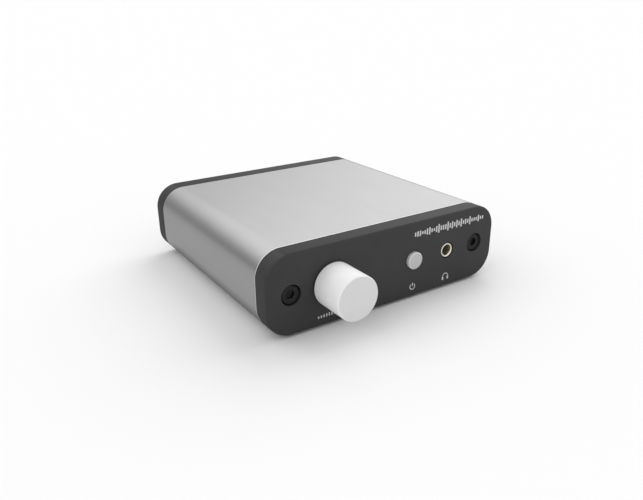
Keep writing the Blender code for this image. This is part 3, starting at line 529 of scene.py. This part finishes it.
def capacitor_wrap(name, height, radius):
    """Dark shrink sleeve with a pale stripe down one side, folded over the rim of a bare aluminium can."""
    m = Nodes(name, (0.02, 0.025, 0.045), 0.3)
    x, y, z = m.axes()
    fine = 0.02 * MM
    fold = radius - 0.9 * MM
    shoulder = height - MM
    inside = m.between(m.from_axis(x, y), 1, 0, fold, fold + fine)
    bare = m.math("MULTIPLY", inside, m.between(z, 0, 1, shoulder, shoulder + fine))
    near_line = m.between(m.math("ABSOLUTE", y), 1, 0, 0.3 * radius, 0.3 * radius + fine)
    stripe = m.math("MULTIPLY", near_line, m.between(x, 0, 1, 0, fine))
    cloud = m.noise(1.2 * MM, 3)
    dark = m.mottled(cloud, (0.017, 0.021, 0.04), (0.024, 0.03, 0.052))
    pale = m.mottled(cloud, grey(0.42), grey(0.48))
    can = m.mottled(cloud, grey(0.58), grey(0.66))
    m.set("Base Color", m.mixed(bare, m.mixed(stripe, dark, pale), can))
    m.set("Metallic", bare)
    m.set("Roughness", m.between(m.noise(1 * MM, 3), 0.25, 0.4))
    m.bump(m.noise(0.6 * MM, 2), 0.004 * MM)
    return m.material


KNOB_EDGE = KNOB.size.x / 2 - 0.3 * MM
BUTTON_EDGE = BUTTON_RADIUS - 0.35 * MM
# The cut_highlight_tone is a painted highlight on the cut edge; on the button it is paler than the side.
KNOB_FINISH = {"side_tone": 0.91, "face_tone": 0.79, "cut_highlight_tone": 0.91, "face_metallic": 0.65}
BUTTON_FINISH = {"side_tone": 0.6, "face_tone": 0.6, "cut_highlight_tone": 0.75, "face_metallic": 0.7}
FINISHES = {  # by material slot
    "satin_aluminium": satin_aluminium(SLEEVE.size.y / 2 + PANEL_GAP),
    "bright_aluminium": turned_aluminium("knob_aluminium", KNOB.size.y, KNOB_EDGE, **KNOB_FINISH),
    "black_panel": black_coating(),
    "black_steel": black_oxide(),
    "black_plastic": moulded("black_plastic", grey(0.018), grey(0.028)),
    "white_plastic": moulded("white_plastic", (0.72, 0.72, 0.69), (0.78, 0.78, 0.76), 0.4),
    "red_plastic": moulded("red_plastic", (0.5, 0.02, 0.02), (0.58, 0.03, 0.03), 0.4),
    "rubber": rubber(),
    "gold_plate": plated("gold_plate", (0.93, 0.81, 0.52), (0.97, 0.87, 0.61), 0.27),
    "steel": plated("steel", grey(0.5), (0.58, 0.58, 0.6), 0.32),
    "board_green": board_mask(),
}
FINISHES["capacitor_sleeve"] = FINISHES["black_plastic"]
BUTTON_METAL = turned_aluminium("button_aluminium", BUTTON.size.y, BUTTON_EDGE, **BUTTON_FINISH)
PALE_GOLD = plated("pale_gold_plate", (0.95, 0.9, 0.76), (0.98, 0.94, 0.82), 0.24)
INK = printed_ink()


# Case -----------------------------------------------------


def make_sleeve():
    """The extrusion, with its cut ends broken to a fine edge, painted bright as its highlight."""
    outside = rounded_outline(HALF_WIDTH, HALF_HEIGHT, CORNER_RADIUS)
    inside = rounded_outline(HALF_WIDTH - WALL, HALF_HEIGHT - WALL, CORNER_RADIUS - WALL)
    ends = (SLEEVE.low.y - PANEL_GAP, SLEEVE.high.y + PANEL_GAP)
    sleeve = prism("sleeve_skin", [outside, inside], *ends)
    bevel(sleeve, CUT_EDGE, 2, 60)
    belongs(sleeve, "case", "satin_aluminium", "sleeve")


SCREW_X = Place("front_screw_right").mid.x
COUNTERBORE = {"radius": 3.3 * MM, "depth": 3.5 * MM}
SCREW_HOLE = {"radius": 1.7 * MM, "depth": 9 * MM}


def counterbored(panel, x, face, into):
    """Cuts a screw's clearance hole and its counterbore into the panel from its outer face."""
    for name, hole in (("screw_hole", SCREW_HOLE), ("counterbore", COUNTERBORE)):
        ends = sorted((face - into * MM, face + into * hole["depth"]))
        combine(panel, rod(name, hole["radius"], *ends, x, MID_Z))


def panel_blank(name, place):
    outline = rounded_outline(HALF_WIDTH, HALF_HEIGHT, CORNER_RADIUS)
    panel = prism(name, [outline], place.low.y, place.high.y)
    bevel(panel, PANEL_ROUNDING, 4, 60)
    apply_modifiers(panel)
    return panel


def make_front_panel():
    panel = panel_blank("front_panel_skin", FRONT)
    for x in (-SCREW_X, SCREW_X):
        counterbored(panel, x, FRONT_Y, 1)
    near, far = FRONT_Y - MM, FRONT.high.y + MM
    combine(panel, rod("knob_hole", 3.8 * MM, near, far, KNOB.mid.x, AXIS_Z))
    combine(panel, rod("button_hole", BUTTON_RADIUS + 0.17 * MM, near, far, BUTTON.mid.x, AXIS_Z))
    combine(panel, rod("jack_hole", FERRULE.size.x / 2 + 0.3 * MM, near, far, FERRULE.mid.x, AXIS_Z))
    bevel(panel, 0.1 * MM, 2, 60)
    belongs(panel, "case", "black_panel", "front_panel")


def make_rear_panel():
    panel = panel_blank("rear_panel_skin", REAR)
    for x in (-SCREW_X, SCREW_X):
        counterbored(panel, x, REAR_Y, -1)
    near, far = REAR.low.y - MM, REAR_Y + MM
    for node in ("usb_shell", "optical_housing"):
        socket = Place(node)
        room = 0.2 * MM
        half = (socket.size.x / 2 + room, socket.size.z / 2 + room)
        outline = rounded_outline(*half, 0.5 * MM, 4, (socket.mid.x, socket.mid.z))
        combine(panel, prism("socket_hole", [outline], near, far))
    for node in ("phono_left_shell", "phono_right_shell"):
        socket = Place(node)
        combine(panel, rod("phono_hole", socket.size.x / 2 + 0.2 * MM, near, far, socket.mid.x, AXIS_Z))
    bevel(panel, 0.1 * MM, 2, 60)
    belongs(panel, "case", "black_panel", "rear_panel")


def make_screws():
    """Socket-head screws with a chamfered hexagon in a rounded head."""
    head, shank, hexagon = 2.95 * MM, 1.3 * MM, 1.44 * MM
    for end in ("front", "rear"):
        for side in ("left", "right"):
            node = f"{end}_screw_{side}"
            place = Place(node)
            length = place.size.y + 0.15 * MM
            seat = length - 2.75 * MM
            inner = place.high.y if end == "front" else place.low.y
            where = (place.mid.x, inner, MID_Z)
            corners = [
                (0, length),
                (head, length, 0.35 * MM),
                (head, seat, 0.15 * MM),
                (shank, seat),
                (shank, 0, 0.4 * MM),
                (0, 0),
            ]
            screw = turned(f"{node}_piece", corners, where, end, 64)
            above = length + MM
            floor = length - 1.1 * MM
            corners = [(0, above), (hexagon, above), (hexagon, floor), (0, floor - 0.3 * MM)]
            combine(screw, turned("hexagon", corners, where, end, 6))
            lip = length - 0.2 * MM
            corners = [(0, above), (2.65 * MM, above), (1.3 * MM, lip), (0, lip)]
            combine(screw, turned("mouth", corners, where, end, 48))
            belongs(screw, "case", "black_steel", node)


def make_feet():
    """Moulded rubber feet with a shallow dish underneath."""
    for end in ("front", "rear"):
        for side in ("left", "right"):
            node = f"{end}_foot_{side}"
            place = Place(node)
            top = place.high.z + 0.25 * MM
            corners = [(0, top), (4 * MM, top, 0.2 * MM), (3.6 * MM, 0, 0.5 * MM), (2.6 * MM, 0, 0.2 * MM)]
            corners += [(2.3 * MM, 0.3 * MM, 0.2 * MM), (0, 0.3 * MM)]
            foot = turned(f"{node}_piece", corners, (place.mid.x, place.mid.y, 0), "up", 64)
            belongs(foot, "case", "rubber", node)


# Front controls -------------------------------------------


def make_knob():
    """A plain turned cup with a crisp, slightly broken front edge."""
    length, radius = KNOB.size.y, KNOB.size.x / 2
    corners = [
        (0, length),
        (KNOB_EDGE, length, 0.04 * MM),
        (radius, length - 0.3 * MM, 0.1 * MM),
        (radius, 0, 0.25 * MM),
        (4.8 * MM, 0, 0.2 * MM),
        (4.8 * MM, length - 1.6 * MM),
        (0, length - 1.6 * MM),
    ]
    knob = turned("volume_knob_piece", corners, (KNOB.mid.x, KNOB.high.y, AXIS_Z), "front", 160)
    belongs(knob, "volume", "bright_aluminium", "volume_knob")


def make_button():
    length = BUTTON.size.y
    flange = 3.8 * MM
    shoulder = length - (FRONT_Y + 3.3 * MM - BUTTON.low.y)
    corners = [
        (0, length),
        (BUTTON_EDGE, length, 0.04 * MM),
        (BUTTON_RADIUS, length - 0.28 * MM, 0.08 * MM),
        (BUTTON_RADIUS, shoulder),
        (flange, shoulder, 0.1 * MM),
        (flange, shoulder - 0.8 * MM, 0.1 * MM),
        (1.95 * MM, shoulder - 0.8 * MM),
        (1.95 * MM, 0, 0.1 * MM),
        (1.6 * MM, 0),
        (1.6 * MM, 3.9 * MM),
        (0, 3.9 * MM),
    ]
    button = turned("power_button_piece", corners, (BUTTON.mid.x, BUTTON.high.y, AXIS_Z), "front")
    belongs(button, "power", "bright_aluminium", "power_button", material=BUTTON_METAL)


def make_jack():
    """The gold ferrule with its dished lip, and the moulded body behind it with its two contact slots."""
    length, radius = FERRULE.high.y - FRONT_Y - 0.1 * MM, FERRULE.size.x / 2
    corners = [
        (JACK_BORE, length - 0.55 * MM, 0.2 * MM),
        (1.95 * MM, length - 0.05 * MM, 0.14 * MM),
        (radius - 0.16 * MM, length, 0.14 * MM),
        (radius, length - 0.28 * MM, 0.14 * MM),
        (radius, 0),
        (JACK_BORE, 0),
    ]
    where = (FERRULE.mid.x, FERRULE.high.y, AXIS_Z)
    ferrule = turned("jack_ferrule_piece", corners, where, "front", ring=True)
    belongs(ferrule, "case", "gold_plate", "jack_ferrule", material=PALE_GOLD)

    place = Place("jack_housing")
    body = block("jack_housing_piece", place.low, place.high)
    bevel(body, 0.3 * MM)
    near, far = place.low.y - MM, place.high.y - 1.5 * MM
    combine(body, rod("jack_bore", JACK_BORE + 0.05 * MM, near, far, place.mid.x, AXIS_Z))
    for node in ("jack_tip_contact", "jack_ring_contact"):
        contact = Place(node)
        low = (place.mid.x - 0.9 * MM, contact.low.y - 0.4 * MM, AXIS_Z)
        high = (place.mid.x + 0.9 * MM, contact.high.y + 0.4 * MM, place.high.z + MM)
        combine(body, block("contact_slot", low, high))
    belongs(body, "case", "black_plastic", "jack_housing")


# Rear sockets ---------------------------------------------


def outline_of(place, inset, radius):
    """A rounded outline inside a node's box, seen along Y."""
    half = (place.size.x / 2 - inset, place.size.z / 2 - inset)
    return rounded_outline(*half, radius, 8, (place.mid.x, place.mid.z))


def keyed_outline(half_width, low, high, chamfer, x):
    """A socket's opening: a rectangle whose two upper corners are cut off."""
    lower = [(x - half_width, low), (x + half_width, low)]
    right = [(x + half_width, high - chamfer), (x + half_width - chamfer, high)]
    left = [(x - half_width + chamfer, high), (x - half_width, high - chamfer)]
    return lower + right + left


def make_usb_socket():
    """A folded steel shell with a seam under it, round an insulator with a tongue and four contacts."""
    place = Place("usb_shell")
    skin = 0.4 * MM
    outlines = [outline_of(place, 0, 0.9 * MM), outline_of(place, skin, 0.5 * MM)]
    shell = prism("usb_shell_piece", outlines, place.low.y, place.high.y)
    low = (place.mid.x + 2.2 * MM, place.low.y - MM, place.low.z - MM)
    high = (place.mid.x + 2.35 * MM, place.high.y + MM, place.low.z + skin + 0.1 * MM)
    combine(shell, block("seam", low, high))
    bevel(shell, 0.1 * MM, 2, 60)
    belongs(shell, "case", "steel", "usb_shell")

    filling = Place("usb_insulator")
    x, z = filling.mid.x, filling.mid.z
    floor = filling.high.y - 9.5 * MM
    outline = outline_of(filling, -0.2 * MM, 0.4 * MM)
    insulator = prism("usb_insulator_piece", [outline], filling.low.y, filling.high.y)
    port = keyed_outline(4.25 * MM, z - 3.9 * MM, z + 3.9 * MM, 1.4 * MM, x)
    combine(insulator, prism("usb_port", [port], floor, filling.high.y + MM))
    tongue = rounded_outline(2.8 * MM, 1.6 * MM, 0.25 * MM, 4, (x, z))
    blade = prism("usb_tongue", [tongue], floor - MM, filling.high.y - 0.9 * MM)
    bevel(blade, 0.3 * MM, 3, 60)
    combine(insulator, blade, "UNION")
    bevel(insulator, 0.14 * MM, 2, 40)
    belongs(insulator, "case", "black_plastic", "usb_insulator")

    for number in range(1, 5):
        node = f"usb_contact_{number}"
        place = Place(node)
        contact = block(f"{node}_piece", place.low, place.high)
        bevel(contact, 0.07 * MM, 3)
        belongs(contact, "case", "gold_plate", node)


def make_optical_socket():
    """The moulded housing, whose keyed mouth sits in a shallow step, over its shutter's cavity."""
    place = Place("optical_housing")
    x, face = place.mid.x, place.high.y
    low, high = place.low.z + 1.4 * MM, place.low.z + 8.8 * MM
    housing = block("optical_housing_piece", place.low, place.high)
    bevel(housing, 0.35 * MM, 4)
    step = keyed_outline(4.25 * MM, low - 0.35 * MM, high + 0.35 * MM, 1.6 * MM, x)
    combine(housing, prism("mouth_step", [step], face - 0.35 * MM, face + MM))
    mouth = keyed_outline(3.9 * MM, low, high, 1.5 * MM, x)
    combine(housing, prism("mouth", [mouth], face - 2 * MM, face + MM))
    shutter = Place("optical_shutter")
    half = 4.35 * MM
    cavity_low = (x - half, shutter.low.y - 8.6 * MM, low - 0.5 * MM)
    cavity_high = (x + half, face - MM, shutter.high.z + 0.25 * MM)
    combine(housing, block("cavity", cavity_low, cavity_high))
    middle = (low + high) / 2
    receiver = Place("optical_receiver")
    combine(housing, rod("fibre_bore", 1.5 * MM, receiver.low.y, cavity_low[1] + MM, x, middle))
    grown = Vector((0.3, 0.3, 0.3)) * MM
    pocket_low = receiver.low - grown - Vector((0, MM, 0))
    combine(housing, block("receiver_pocket", pocket_low, receiver.high + grown))
    bevel(housing, 0.12 * MM, 2, 40)
    belongs(housing, "case", "black_plastic", "optical_housing")


def make_shutter():
    """The hanging flap, with a raised rim round its face, and the barrel it turns on."""
    place = Place("optical_shutter")
    barrel = 0.55 * MM
    hinge = (place.high.y - barrel, place.high.z - barrel)
    flap_low = Vector((place.low.x, place.high.y - 0.7 * MM, place.low.z))
    flap_high = Vector((place.high.x, place.high.y, place.high.z - 2.3 * barrel))
    flap = block("optical_shutter_piece", flap_low, flap_high)
    bevel(flap, 0.15 * MM, 3)
    margin = 0.9 * MM
    dish_low = (flap_low.x + margin, flap_high.y - 0.15 * MM, flap_low.z + margin)
    dish_high = (flap_high.x - margin, flap_high.y + MM, flap_high.z - margin)
    combine(flap, block("dish", dish_low, dish_high))
    end = place.high.x - 2.1 * MM
    web = block("web", (place.low.x, flap_low.y, flap_high.z - 0.3 * MM), (end, flap_high.y, hinge[1]))
    combine(flap, web, "UNION")
    length = end - place.low.x
    round_bar = turned("barrel", cylinder(barrel, length), (0, 0, 0), "up", 48)
    round_bar.rotation_euler = (0, math.pi / 2, 0)
    round_bar.location = (place.low.x, *hinge)
    combine(flap, round_bar, "UNION")
    bevel(flap, 0.05 * MM, 2, 40)
    belongs(flap, "shutter", "black_plastic", "optical_shutter")


def make_phono_sockets():
    """Two sockets: a gold shell, a coloured insulator and collar, and a split centre contact."""
    for side, slot in (("left", "white_plastic"), ("right", "red_plastic")):
        make_phono_shell(f"phono_{side}_shell")
        make_phono_insulator(f"phono_{side}_insulator", slot)
        make_phono_contact(f"phono_{side}_contact")
        make_phono_collar(f"phono_{side}_collar", slot)


def rear_ring(node, corners):
    """A ring on a phono socket's axis, whose profile's height starts at the node's inner end."""
    place = Place(node)
    return turned(f"{node}_piece", corners, (place.mid.x, place.low.y, AXIS_Z), "rear", ring=True)


def make_phono_shell(node):
    """A tube with a rounded lip and a rolled groove near its end."""
    place = Place(node)
    length, radius, bore = place.size.y, place.size.x / 2, 3.5 * MM
    groove = length - 2.1 * MM
    corners = [
        (bore, 0),
        (radius, 0),
        (radius, groove - 0.35 * MM, 0.15 * MM),
        (radius - 0.14 * MM, groove - 0.15 * MM, 0.1 * MM),
        (radius - 0.14 * MM, groove + 0.15 * MM, 0.1 * MM),
        (radius, groove + 0.35 * MM, 0.15 * MM),
        (radius, length, 0.26 * MM),
        (bore, length, 0.26 * MM),
    ]
    belongs(rear_ring(node, corners), "case", "gold_plate", node)


def make_phono_insulator(node, slot):
    place = Place(node)
    length, radius, bore = place.size.y, place.size.x / 2, 2.3 * MM
    corners = [
        (bore - 0.1 * MM, 0),
        (radius + 0.15 * MM, 0),
        (radius + 0.15 * MM, length, 0.15 * MM),
        (bore + 0.3 * MM, length, 0.15 * MM),
        (bore - 0.1 * MM, length - 0.5 * MM, 0.15 * MM),
    ]
    belongs(rear_ring(node, corners), "case", slot, node)


def make_phono_contact(node):
    """A sleeve split in four at its mouth, so that it grips the pin."""
    place = Place(node)
    length, radius, bore = place.size.y, place.size.x / 2, 1.65 * MM
    corners = [(bore, 0), (radius, 0), (radius, length, 0.12 * MM), (bore, length, 0.2 * MM)]
    contact = rear_ring(node, corners)
    half, depth = 0.13 * MM, 4 * MM
    mouth = place.high.y
    for wide, tall in ((half, 3 * MM), (3 * MM, half)):
        low = (place.mid.x - wide, mouth - depth, AXIS_Z - tall)
        high = (place.mid.x + wide, mouth + MM, AXIS_Z + tall)
        combine(contact, block("split", low, high))
    belongs(contact, "case", "gold_plate", node)


def make_phono_collar(node, slot):
    """A coloured washer against the panel, with a rounded rim and a shallow step round the shell."""
    place = Place(node)
    radius, bore = place.size.x / 2, 4.25 * MM
    base = REAR_Y + 0.02 * MM - place.low.y
    length = place.size.y
    corners = [
        (bore, base),
        (radius, base),
        (radius, length, 0.35 * MM),
        (radius - 0.75 * MM, length, 0.1 * MM),
        (radius - 0.85 * MM, length - 0.2 * MM, 0.08 * MM),
        (bore, length - 0.2 * MM),
    ]
    belongs(rear_ring(node, corners), "case", slot, node)


# Circuit board --------------------------------------------

BOARD = Place("circuit_board")
CAPACITOR_NODES = ["output_capacitor_left", "output_capacitor_right"]
CAPACITOR_NODES += [f"supply_capacitor_{number}" for number in range(1, 5)]


def make_board():
    board = block("circuit_board_piece", BOARD.low, BOARD.high)
    bevel(board, 0.1 * MM, 2)
    belongs(board, "case", "board_green", "circuit_board")


def make_capacitors():
    """Round cans with a crimp near the foot, a dished top and a cross pressed into it."""
    wraps = {}
    for node in CAPACITOR_NODES:
        place = Place(node)
        radius, height = place.size.x / 2, place.size.z
        corners = [
            (0, height - 0.15 * MM),
            (radius - 0.9 * MM, height - 0.15 * MM, 0.1 * MM),
            (radius - 0.7 * MM, height, 0.1 * MM),
            (radius, height, 0.5 * MM),
            (radius, 2.3 * MM, 0.4 * MM),
            (radius - 0.4 * MM, 1.7 * MM, 0.3 * MM),
            (radius, 1.1 * MM, 0.3 * MM),
            (radius, 0, 0.3 * MM),
            (0, 0),
        ]
        can = turned(f"{node}_piece", corners, (place.mid.x, place.mid.y, place.low.z), "up")
        arm, half, top = 0.55 * radius, 0.1 * MM, place.high.z - 0.15 * MM
        for wide, deep in ((arm, half), (half, arm)):
            low = (place.mid.x - wide, place.mid.y - deep, top - 0.12 * MM)
            combine(can, block("score", low, (place.mid.x + wide, place.mid.y + deep, top + MM)))
        key = round(radius / MM)
        if key not in wraps:
            wraps[key] = capacitor_wrap(f"capacitor_wrap_{key}", height, radius)
        belongs(can, "case", "capacitor_sleeve", node, material=wraps[key])


CHIP_PITCHES = {  # millimetres between leads
    "usb_receiver_chip": 0.8,
    "optical_receiver_chip": 0.8,
    "converter_chip": 0.65,
    "headphone_driver_chip": 1.27,
    "voltage_regulator": 2.3,
}


def make_chips():
    """Moulded packages with a dimple by their first lead, on gull-wing leads along the longer sides."""
    for node, pitch in CHIP_PITCHES.items():
        place = Place(node)
        body = block(f"{node}_piece", place.low, place.high)
        bevel(body, 0.18 * MM, 2)
        dimple = (place.low.x + 0.9 * MM, place.low.y + 0.9 * MM, place.high.z - 0.08 * MM)
        combine(body, turned("dimple", cylinder(0.35 * MM, MM), dimple, "up", 32))
        belongs(body, "case", "black_plastic", node)
        make_leads(node, place, pitch * MM)


def make_leads(node, place, pitch):
    long, short = max(place.size.xy), min(place.size.xy)
    rise = place.low.z + 0.35 * place.size.z - BOARD.high.z
    thick, width, reach = 0.15 * MM, 0.45 * pitch, short / 2 - 0.1 * MM
    path = [(0, rise), (0.5 * MM, rise), (0.65 * MM, thick), (1.2 * MM, thick), (1.2 * MM, 0)]
    path += [(0.55 * MM, 0), (0.4 * MM, rise - thick), (0, rise - thick)]
    shape = bmesh.new()
    count = int((long - pitch) / pitch) + 1
    for side in (-1, 1):
        outline = [(side * (reach + out), up) for out, up in path]
        for i in range(count):
            along = (i - (count - 1) / 2) * pitch
            lead = prism("lead", [outline], along - width / 2, along + width / 2)
            gather(shape, lead)
    turn = math.pi / 2 if place.size.x > place.size.y else 0
    leads = from_bmesh(f"{node}_leads", shape, (place.mid.x, place.mid.y, BOARD.high.z), (0, 0, turn))
    belongs(leads, "case", "steel")


def make_crystal():
    """A pressed can on a flat base."""
    place = Place("clock_crystal")
    inset = Vector((0.3, 0.3, 0)) * MM
    can = block("clock_crystal_piece", place.low + inset, place.high - inset)
    bevel(can, 1.1 * MM, 5)
    base = block("crystal_base", place.low, (place.high.x, place.high.y, place.low.z + 0.7 * MM))
    bevel(base, 0.25 * MM, 3)
    combine(can, base, "UNION")
    belongs(can, "case", "steel", "clock_crystal")


# Printed marks --------------------------------------------

MARK_Z = MID_Z - 9.4 * MM  # the row of marks under the controls
INK_DEPTH = 0.03 * MM


def printed(name, groups):
    """Ink on the front panel. Each group is the outlines of one shape, the outer one and any holes."""
    shape = bmesh.new()
    for group in groups:
        gather(shape, prism(name, group, FRONT_Y - INK_DEPTH, FRONT_Y + INK_DEPTH))
    belongs(from_bmesh(name, shape), "case", "white_plastic", material=INK)


def bar(x, low, high, width):
    return [(x - width / 2, low), (x + width / 2, low), (x + width / 2, high), (x - width / 2, high)]


def ring_segment(centre, radius, width, start, end, steps=24):
    outer = arc(centre, radius + width / 2, start, end, steps)
    inner = arc(centre, radius - width / 2, end, start, steps)
    return outer + inner


def make_volume_mark():
    """Bars that rise to the right, for louder."""
    low = MARK_Z - 0.85 * MM
    count, pitch = 12, 0.96 * MM
    groups = []
    for i in range(count):
        x = KNOB.mid.x + (i - (count - 1) / 2) * pitch
        height = (0.75 + 0.09 * i) * MM
        groups.append([bar(x, low, low + height, 0.42 * MM)])
    printed("volume_mark", groups)


def make_power_mark():
    """A broken circle with a stroke in the break."""
    centre = (BUTTON.mid.x, MARK_Z)
    top, gap = math.pi / 2, math.radians(36)
    ring = ring_segment(centre, 1.0 * MM, 0.32 * MM, top + gap, top + TAU - gap, 40)
    stroke = bar(centre[0], MARK_Z + 0.15 * MM, MARK_Z + 1.35 * MM, 0.32 * MM)
    printed("power_mark", [[ring], [stroke]])


def make_headphone_mark():
    """A headband with two ear cups."""
    x = FERRULE.mid.x
    band = ring_segment((x, MARK_Z - 0.1 * MM), 1.2 * MM, 0.28 * MM, 0, math.pi)
    groups = [[band]]
    for side in (-1, 1):
        middle = (x + side * 1.1 * MM, MARK_Z - 0.6 * MM)
        groups.append([rounded_outline(0.36 * MM, 0.6 * MM, 0.26 * MM, 5, middle)])
    printed("headphone_mark", groups)


def make_sound_mark():
    """A plain row of bars, like a sound's level over time, along the panel's upper right."""
    left, right = BUTTON.mid.x + 0.3 * MM, SCREW_X + 3.1 * MM
    count = 31
    groups = []
    for i in range(count):
        t = i / (count - 1)
        swell = 0.4 + 0.6 * math.sin(math.pi * t)
        level = abs(math.sin(2.3 * i) * 0.6 + math.cos(0.9 * i) * 0.4)
        half = (0.45 + 1.3 * swell * level) * MM
        z = MID_Z + 8.6 * MM
        groups.append([bar(left + (right - left) * t, z - half, z + half, 0.58 * MM)])
    printed("sound_mark", groups)


# Carried-over nodes ---------------------------------------

SLOTS = {part["node"]: part["material_slot"] for part in frame["record"]["subparts"]}
INNER_EDGES = {  # the rounding of each inner piece's edges, in millimetres
    "phono_block": 0.25,
    "pot_front_plate": 0.1,
    "pot_housing": 0.25,
    "pot_wiper": 0.1,
    "volume_shaft": 0.08,
    "knob_insert": 0.15,
    "power_switch_housing": 0.15,
    "power_plunger": 0.15,
    "jack_tip_contact": 0.05,
    "jack_ring_contact": 0.05,
    "optical_receiver": 0.15,
    "shutter_pin": 0.05,
    "shutter_spring": 0,
    "power_spring": 0,
}
SPRINGS = ("shutter_spring", "power_spring")
SPRING_SHARP = math.radians(60)


def finish_nodes():
    """Every CAD node that stays gets its slot's full material."""
    for name, slot in SLOTS.items():
        node = frame["nodes"][name]
        node.data.materials.clear()
        node.data.materials.append(FINISHES[slot])


def make_inner_pieces():
    """The pieces that the case hides keep their CAD shapes, with rounded edges and smooth curves."""
    bodies = frame["record"]["behaviour"]["bodies"]
    body_of = {node: body for body, nodes in bodies.items() for node in nodes}
    for node, rounding in INNER_EDGES.items():
        piece = from_bmesh(f"{node}_piece", flat_faced(frame["nodes"][node].data))
        if rounding:
            bevel(piece, rounding * MM, 2)
        belongs(piece, body_of[node], SLOTS[node], node)
        if node in SPRINGS:
            piece.data.set_sharp_from_angle(angle=SPRING_SHARP)


def squeeze_spring():
    """Gives the button's spring piece a mesh of its own."""
    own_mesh(bpy.data.objects["power_spring_piece"])


# Stage ----------------------------------------------------

FLOOR_TONE = 0.91
DOME = 0.68  # how strongly the dome lights everything
SOFTBOXES = {"right": ((0.7, 0.32, 0.64), 1.21), "left": ((-0.6, 0.2, 0.7), 0.65)}  # direction and strength
BRIGHTEST = (0.19, -0.765, 0.615)  # the direction the dome is brightest in, as the metal reflects it
DOME_REFLECTION = 1.06
DIMMEST = 0.3
FLOOR_REFLECTION = {  # the tone of the floor in the metal, by how many millimetres behind the middle it is
    -68: 0.8,
    -46: 0.47,
    20: 0.47,
    300: 0.37,
}


def make_floor():
    """A pale floor. What the metal reflects of it is darker than what the camera sees of it."""
    shape = bmesh.new()
    bmesh.ops.create_grid(shape, x_segments=1, y_segments=1, size=30.0)
    floor = from_bmesh("floor", shape, (0, 0, -0.02 * MM))
    m = Nodes("pale_floor", grey(FLOOR_TONE), 0.8, Specular_IOR_Level=0)
    behind = m.axes()[1]
    first, last = min(FLOOR_REFLECTION) * MM, max(FLOOR_REFLECTION) * MM
    along = m.between(behind, 0, 1, first, last)
    stops = [((y * MM - first) / (last - first), grey(tone)) for y, tone in FLOOR_REFLECTION.items()]
    # Painted contact shade: the reflected floor is darkened where the case is near.
    contact = m.node("ShaderNodeAmbientOcclusion", samples=6)
    contact.inputs["Distance"].default_value = 12 * MM
    m.tree.links.new(m.colours(along, *stops), contact.inputs["Color"])
    # Painted reflection: for glossy rays the floor is a glowing card of these tones, not the lit floor.
    glossy_reflection_card = m.node("ShaderNodeEmission")
    m.tree.links.new(contact.outputs["Color"], glossy_reflection_card.inputs["Color"])
    path = m.node("ShaderNodeLightPath")
    mix = m.node("ShaderNodeMixShader")
    m.tree.links.new(path.outputs["Is Glossy Ray"], mix.inputs["Fac"])
    m.tree.links.new(m.shader.outputs["BSDF"], mix.inputs[1])
    m.tree.links.new(glossy_reflection_card.outputs["Emission"], mix.inputs[2])
    m.tree.links.new(mix.outputs["Shader"], m.tree.nodes["Material Output"].inputs["Surface"])
    floor.data.materials.append(m.material)


def make_world():
    """A white dome. What the metal reflects of it is bright overhead and dims to the horizon behind."""
    world = bpy.data.worlds.new("studio")
    bpy.context.scene.world = world
    world.use_nodes = True
    tree = world.node_tree
    new, link = tree.nodes.new, tree.links.new

    towards = new("ShaderNodeVectorMath")
    towards.operation = "DOT_PRODUCT"
    towards.inputs[1].default_value = Vector(BRIGHTEST).normalized()
    link(new("ShaderNodeTexCoord").outputs["Generated"], towards.inputs[0])
    gradient = new("ShaderNodeMapRange")
    gradient.interpolation_type = "SMOOTHSTEP"
    ends = {"From Min": -0.66, "From Max": -0.2, "To Min": DIMMEST, "To Max": DOME_REFLECTION}
    for socket, value in ends.items():
        gradient.inputs[socket].default_value = value
    link(towards.outputs["Value"], gradient.inputs["Value"])

    rays = new("ShaderNodeLightPath")
    strength = gradient.outputs["Result"]
    for ray, value in (("Is Diffuse Ray", DOME), ("Is Camera Ray", 1.0)):
        chosen = new("ShaderNodeMix")
        chosen.data_type = "FLOAT"
        link(rays.outputs[ray], chosen.inputs["Factor"])
        link(strength, chosen.inputs["A"])
        chosen.inputs["B"].default_value = value
        strength = chosen.outputs["Result"]
    background = tree.nodes["Background"]
    background.inputs["Color"].default_value = (1, 1, 1, 1)
    link(strength, background.inputs["Strength"])


def make_softboxes():
    """Two very broad lights, high on either side and a little behind the object."""
    for side, (direction, strength) in SOFTBOXES.items():
        light = bpy.data.lights.new(f"{side}_softbox", "SUN")
        light.energy = strength
        light.angle = math.radians(60)
        softbox = bpy.data.objects.new(f"{side}_softbox", light)
        softbox.rotation_mode = "QUATERNION"
        softbox.rotation_quaternion = Vector(direction).to_track_quat("Z", "Y")
        softbox.visible_glossy = False
        bpy.context.scene.collection.objects.link(softbox)


def make_camera():
    """A camera in front of the case, to the left of it and above, aimed a little under its middle."""
    azimuth, elevation, roll = (math.radians(a) for a in (-33.02, 22.268, -0.527))
    distance = 233.4 * MM
    target = CASE_MIDDLE + Vector((1.964, 0, -9.361)) * MM
    flat = math.cos(elevation)
    back = Vector((math.sin(azimuth) * flat, -math.cos(azimuth) * flat, math.sin(elevation)))
    level = Vector((0, 0, 1)).cross(back).normalized()
    upward = back.cross(level)
    right = level * math.cos(roll) + upward * math.sin(roll)
    up = back.cross(right)
    data = bpy.data.cameras.new("camera")
    data.sensor_width = 36
    data.lens = 35.066
    data.clip_start = 0.01
    data.clip_end = 50
    camera = bpy.data.objects.new("camera", data)
    camera.matrix_world = Matrix((right, up, back)).transposed().to_4x4()
    camera.location = target + back * distance
    bpy.context.scene.collection.objects.link(camera)
    bpy.context.scene.camera = camera


finish_nodes()
make_sleeve()
make_front_panel()
make_rear_panel()
make_screws()
make_feet()
make_knob()
make_button()
make_jack()
make_usb_socket()
make_optical_socket()
make_shutter()
make_phono_sockets()
make_board()
make_capacitors()
make_chips()
make_crystal()
make_inner_pieces()
squeeze_spring()
make_volume_mark()
make_power_mark()
make_headphone_mark()
make_sound_mark()
make_floor()
make_world()
make_softboxes()
make_camera()
bpy.context.scene.view_settings.view_transform = "Standard"
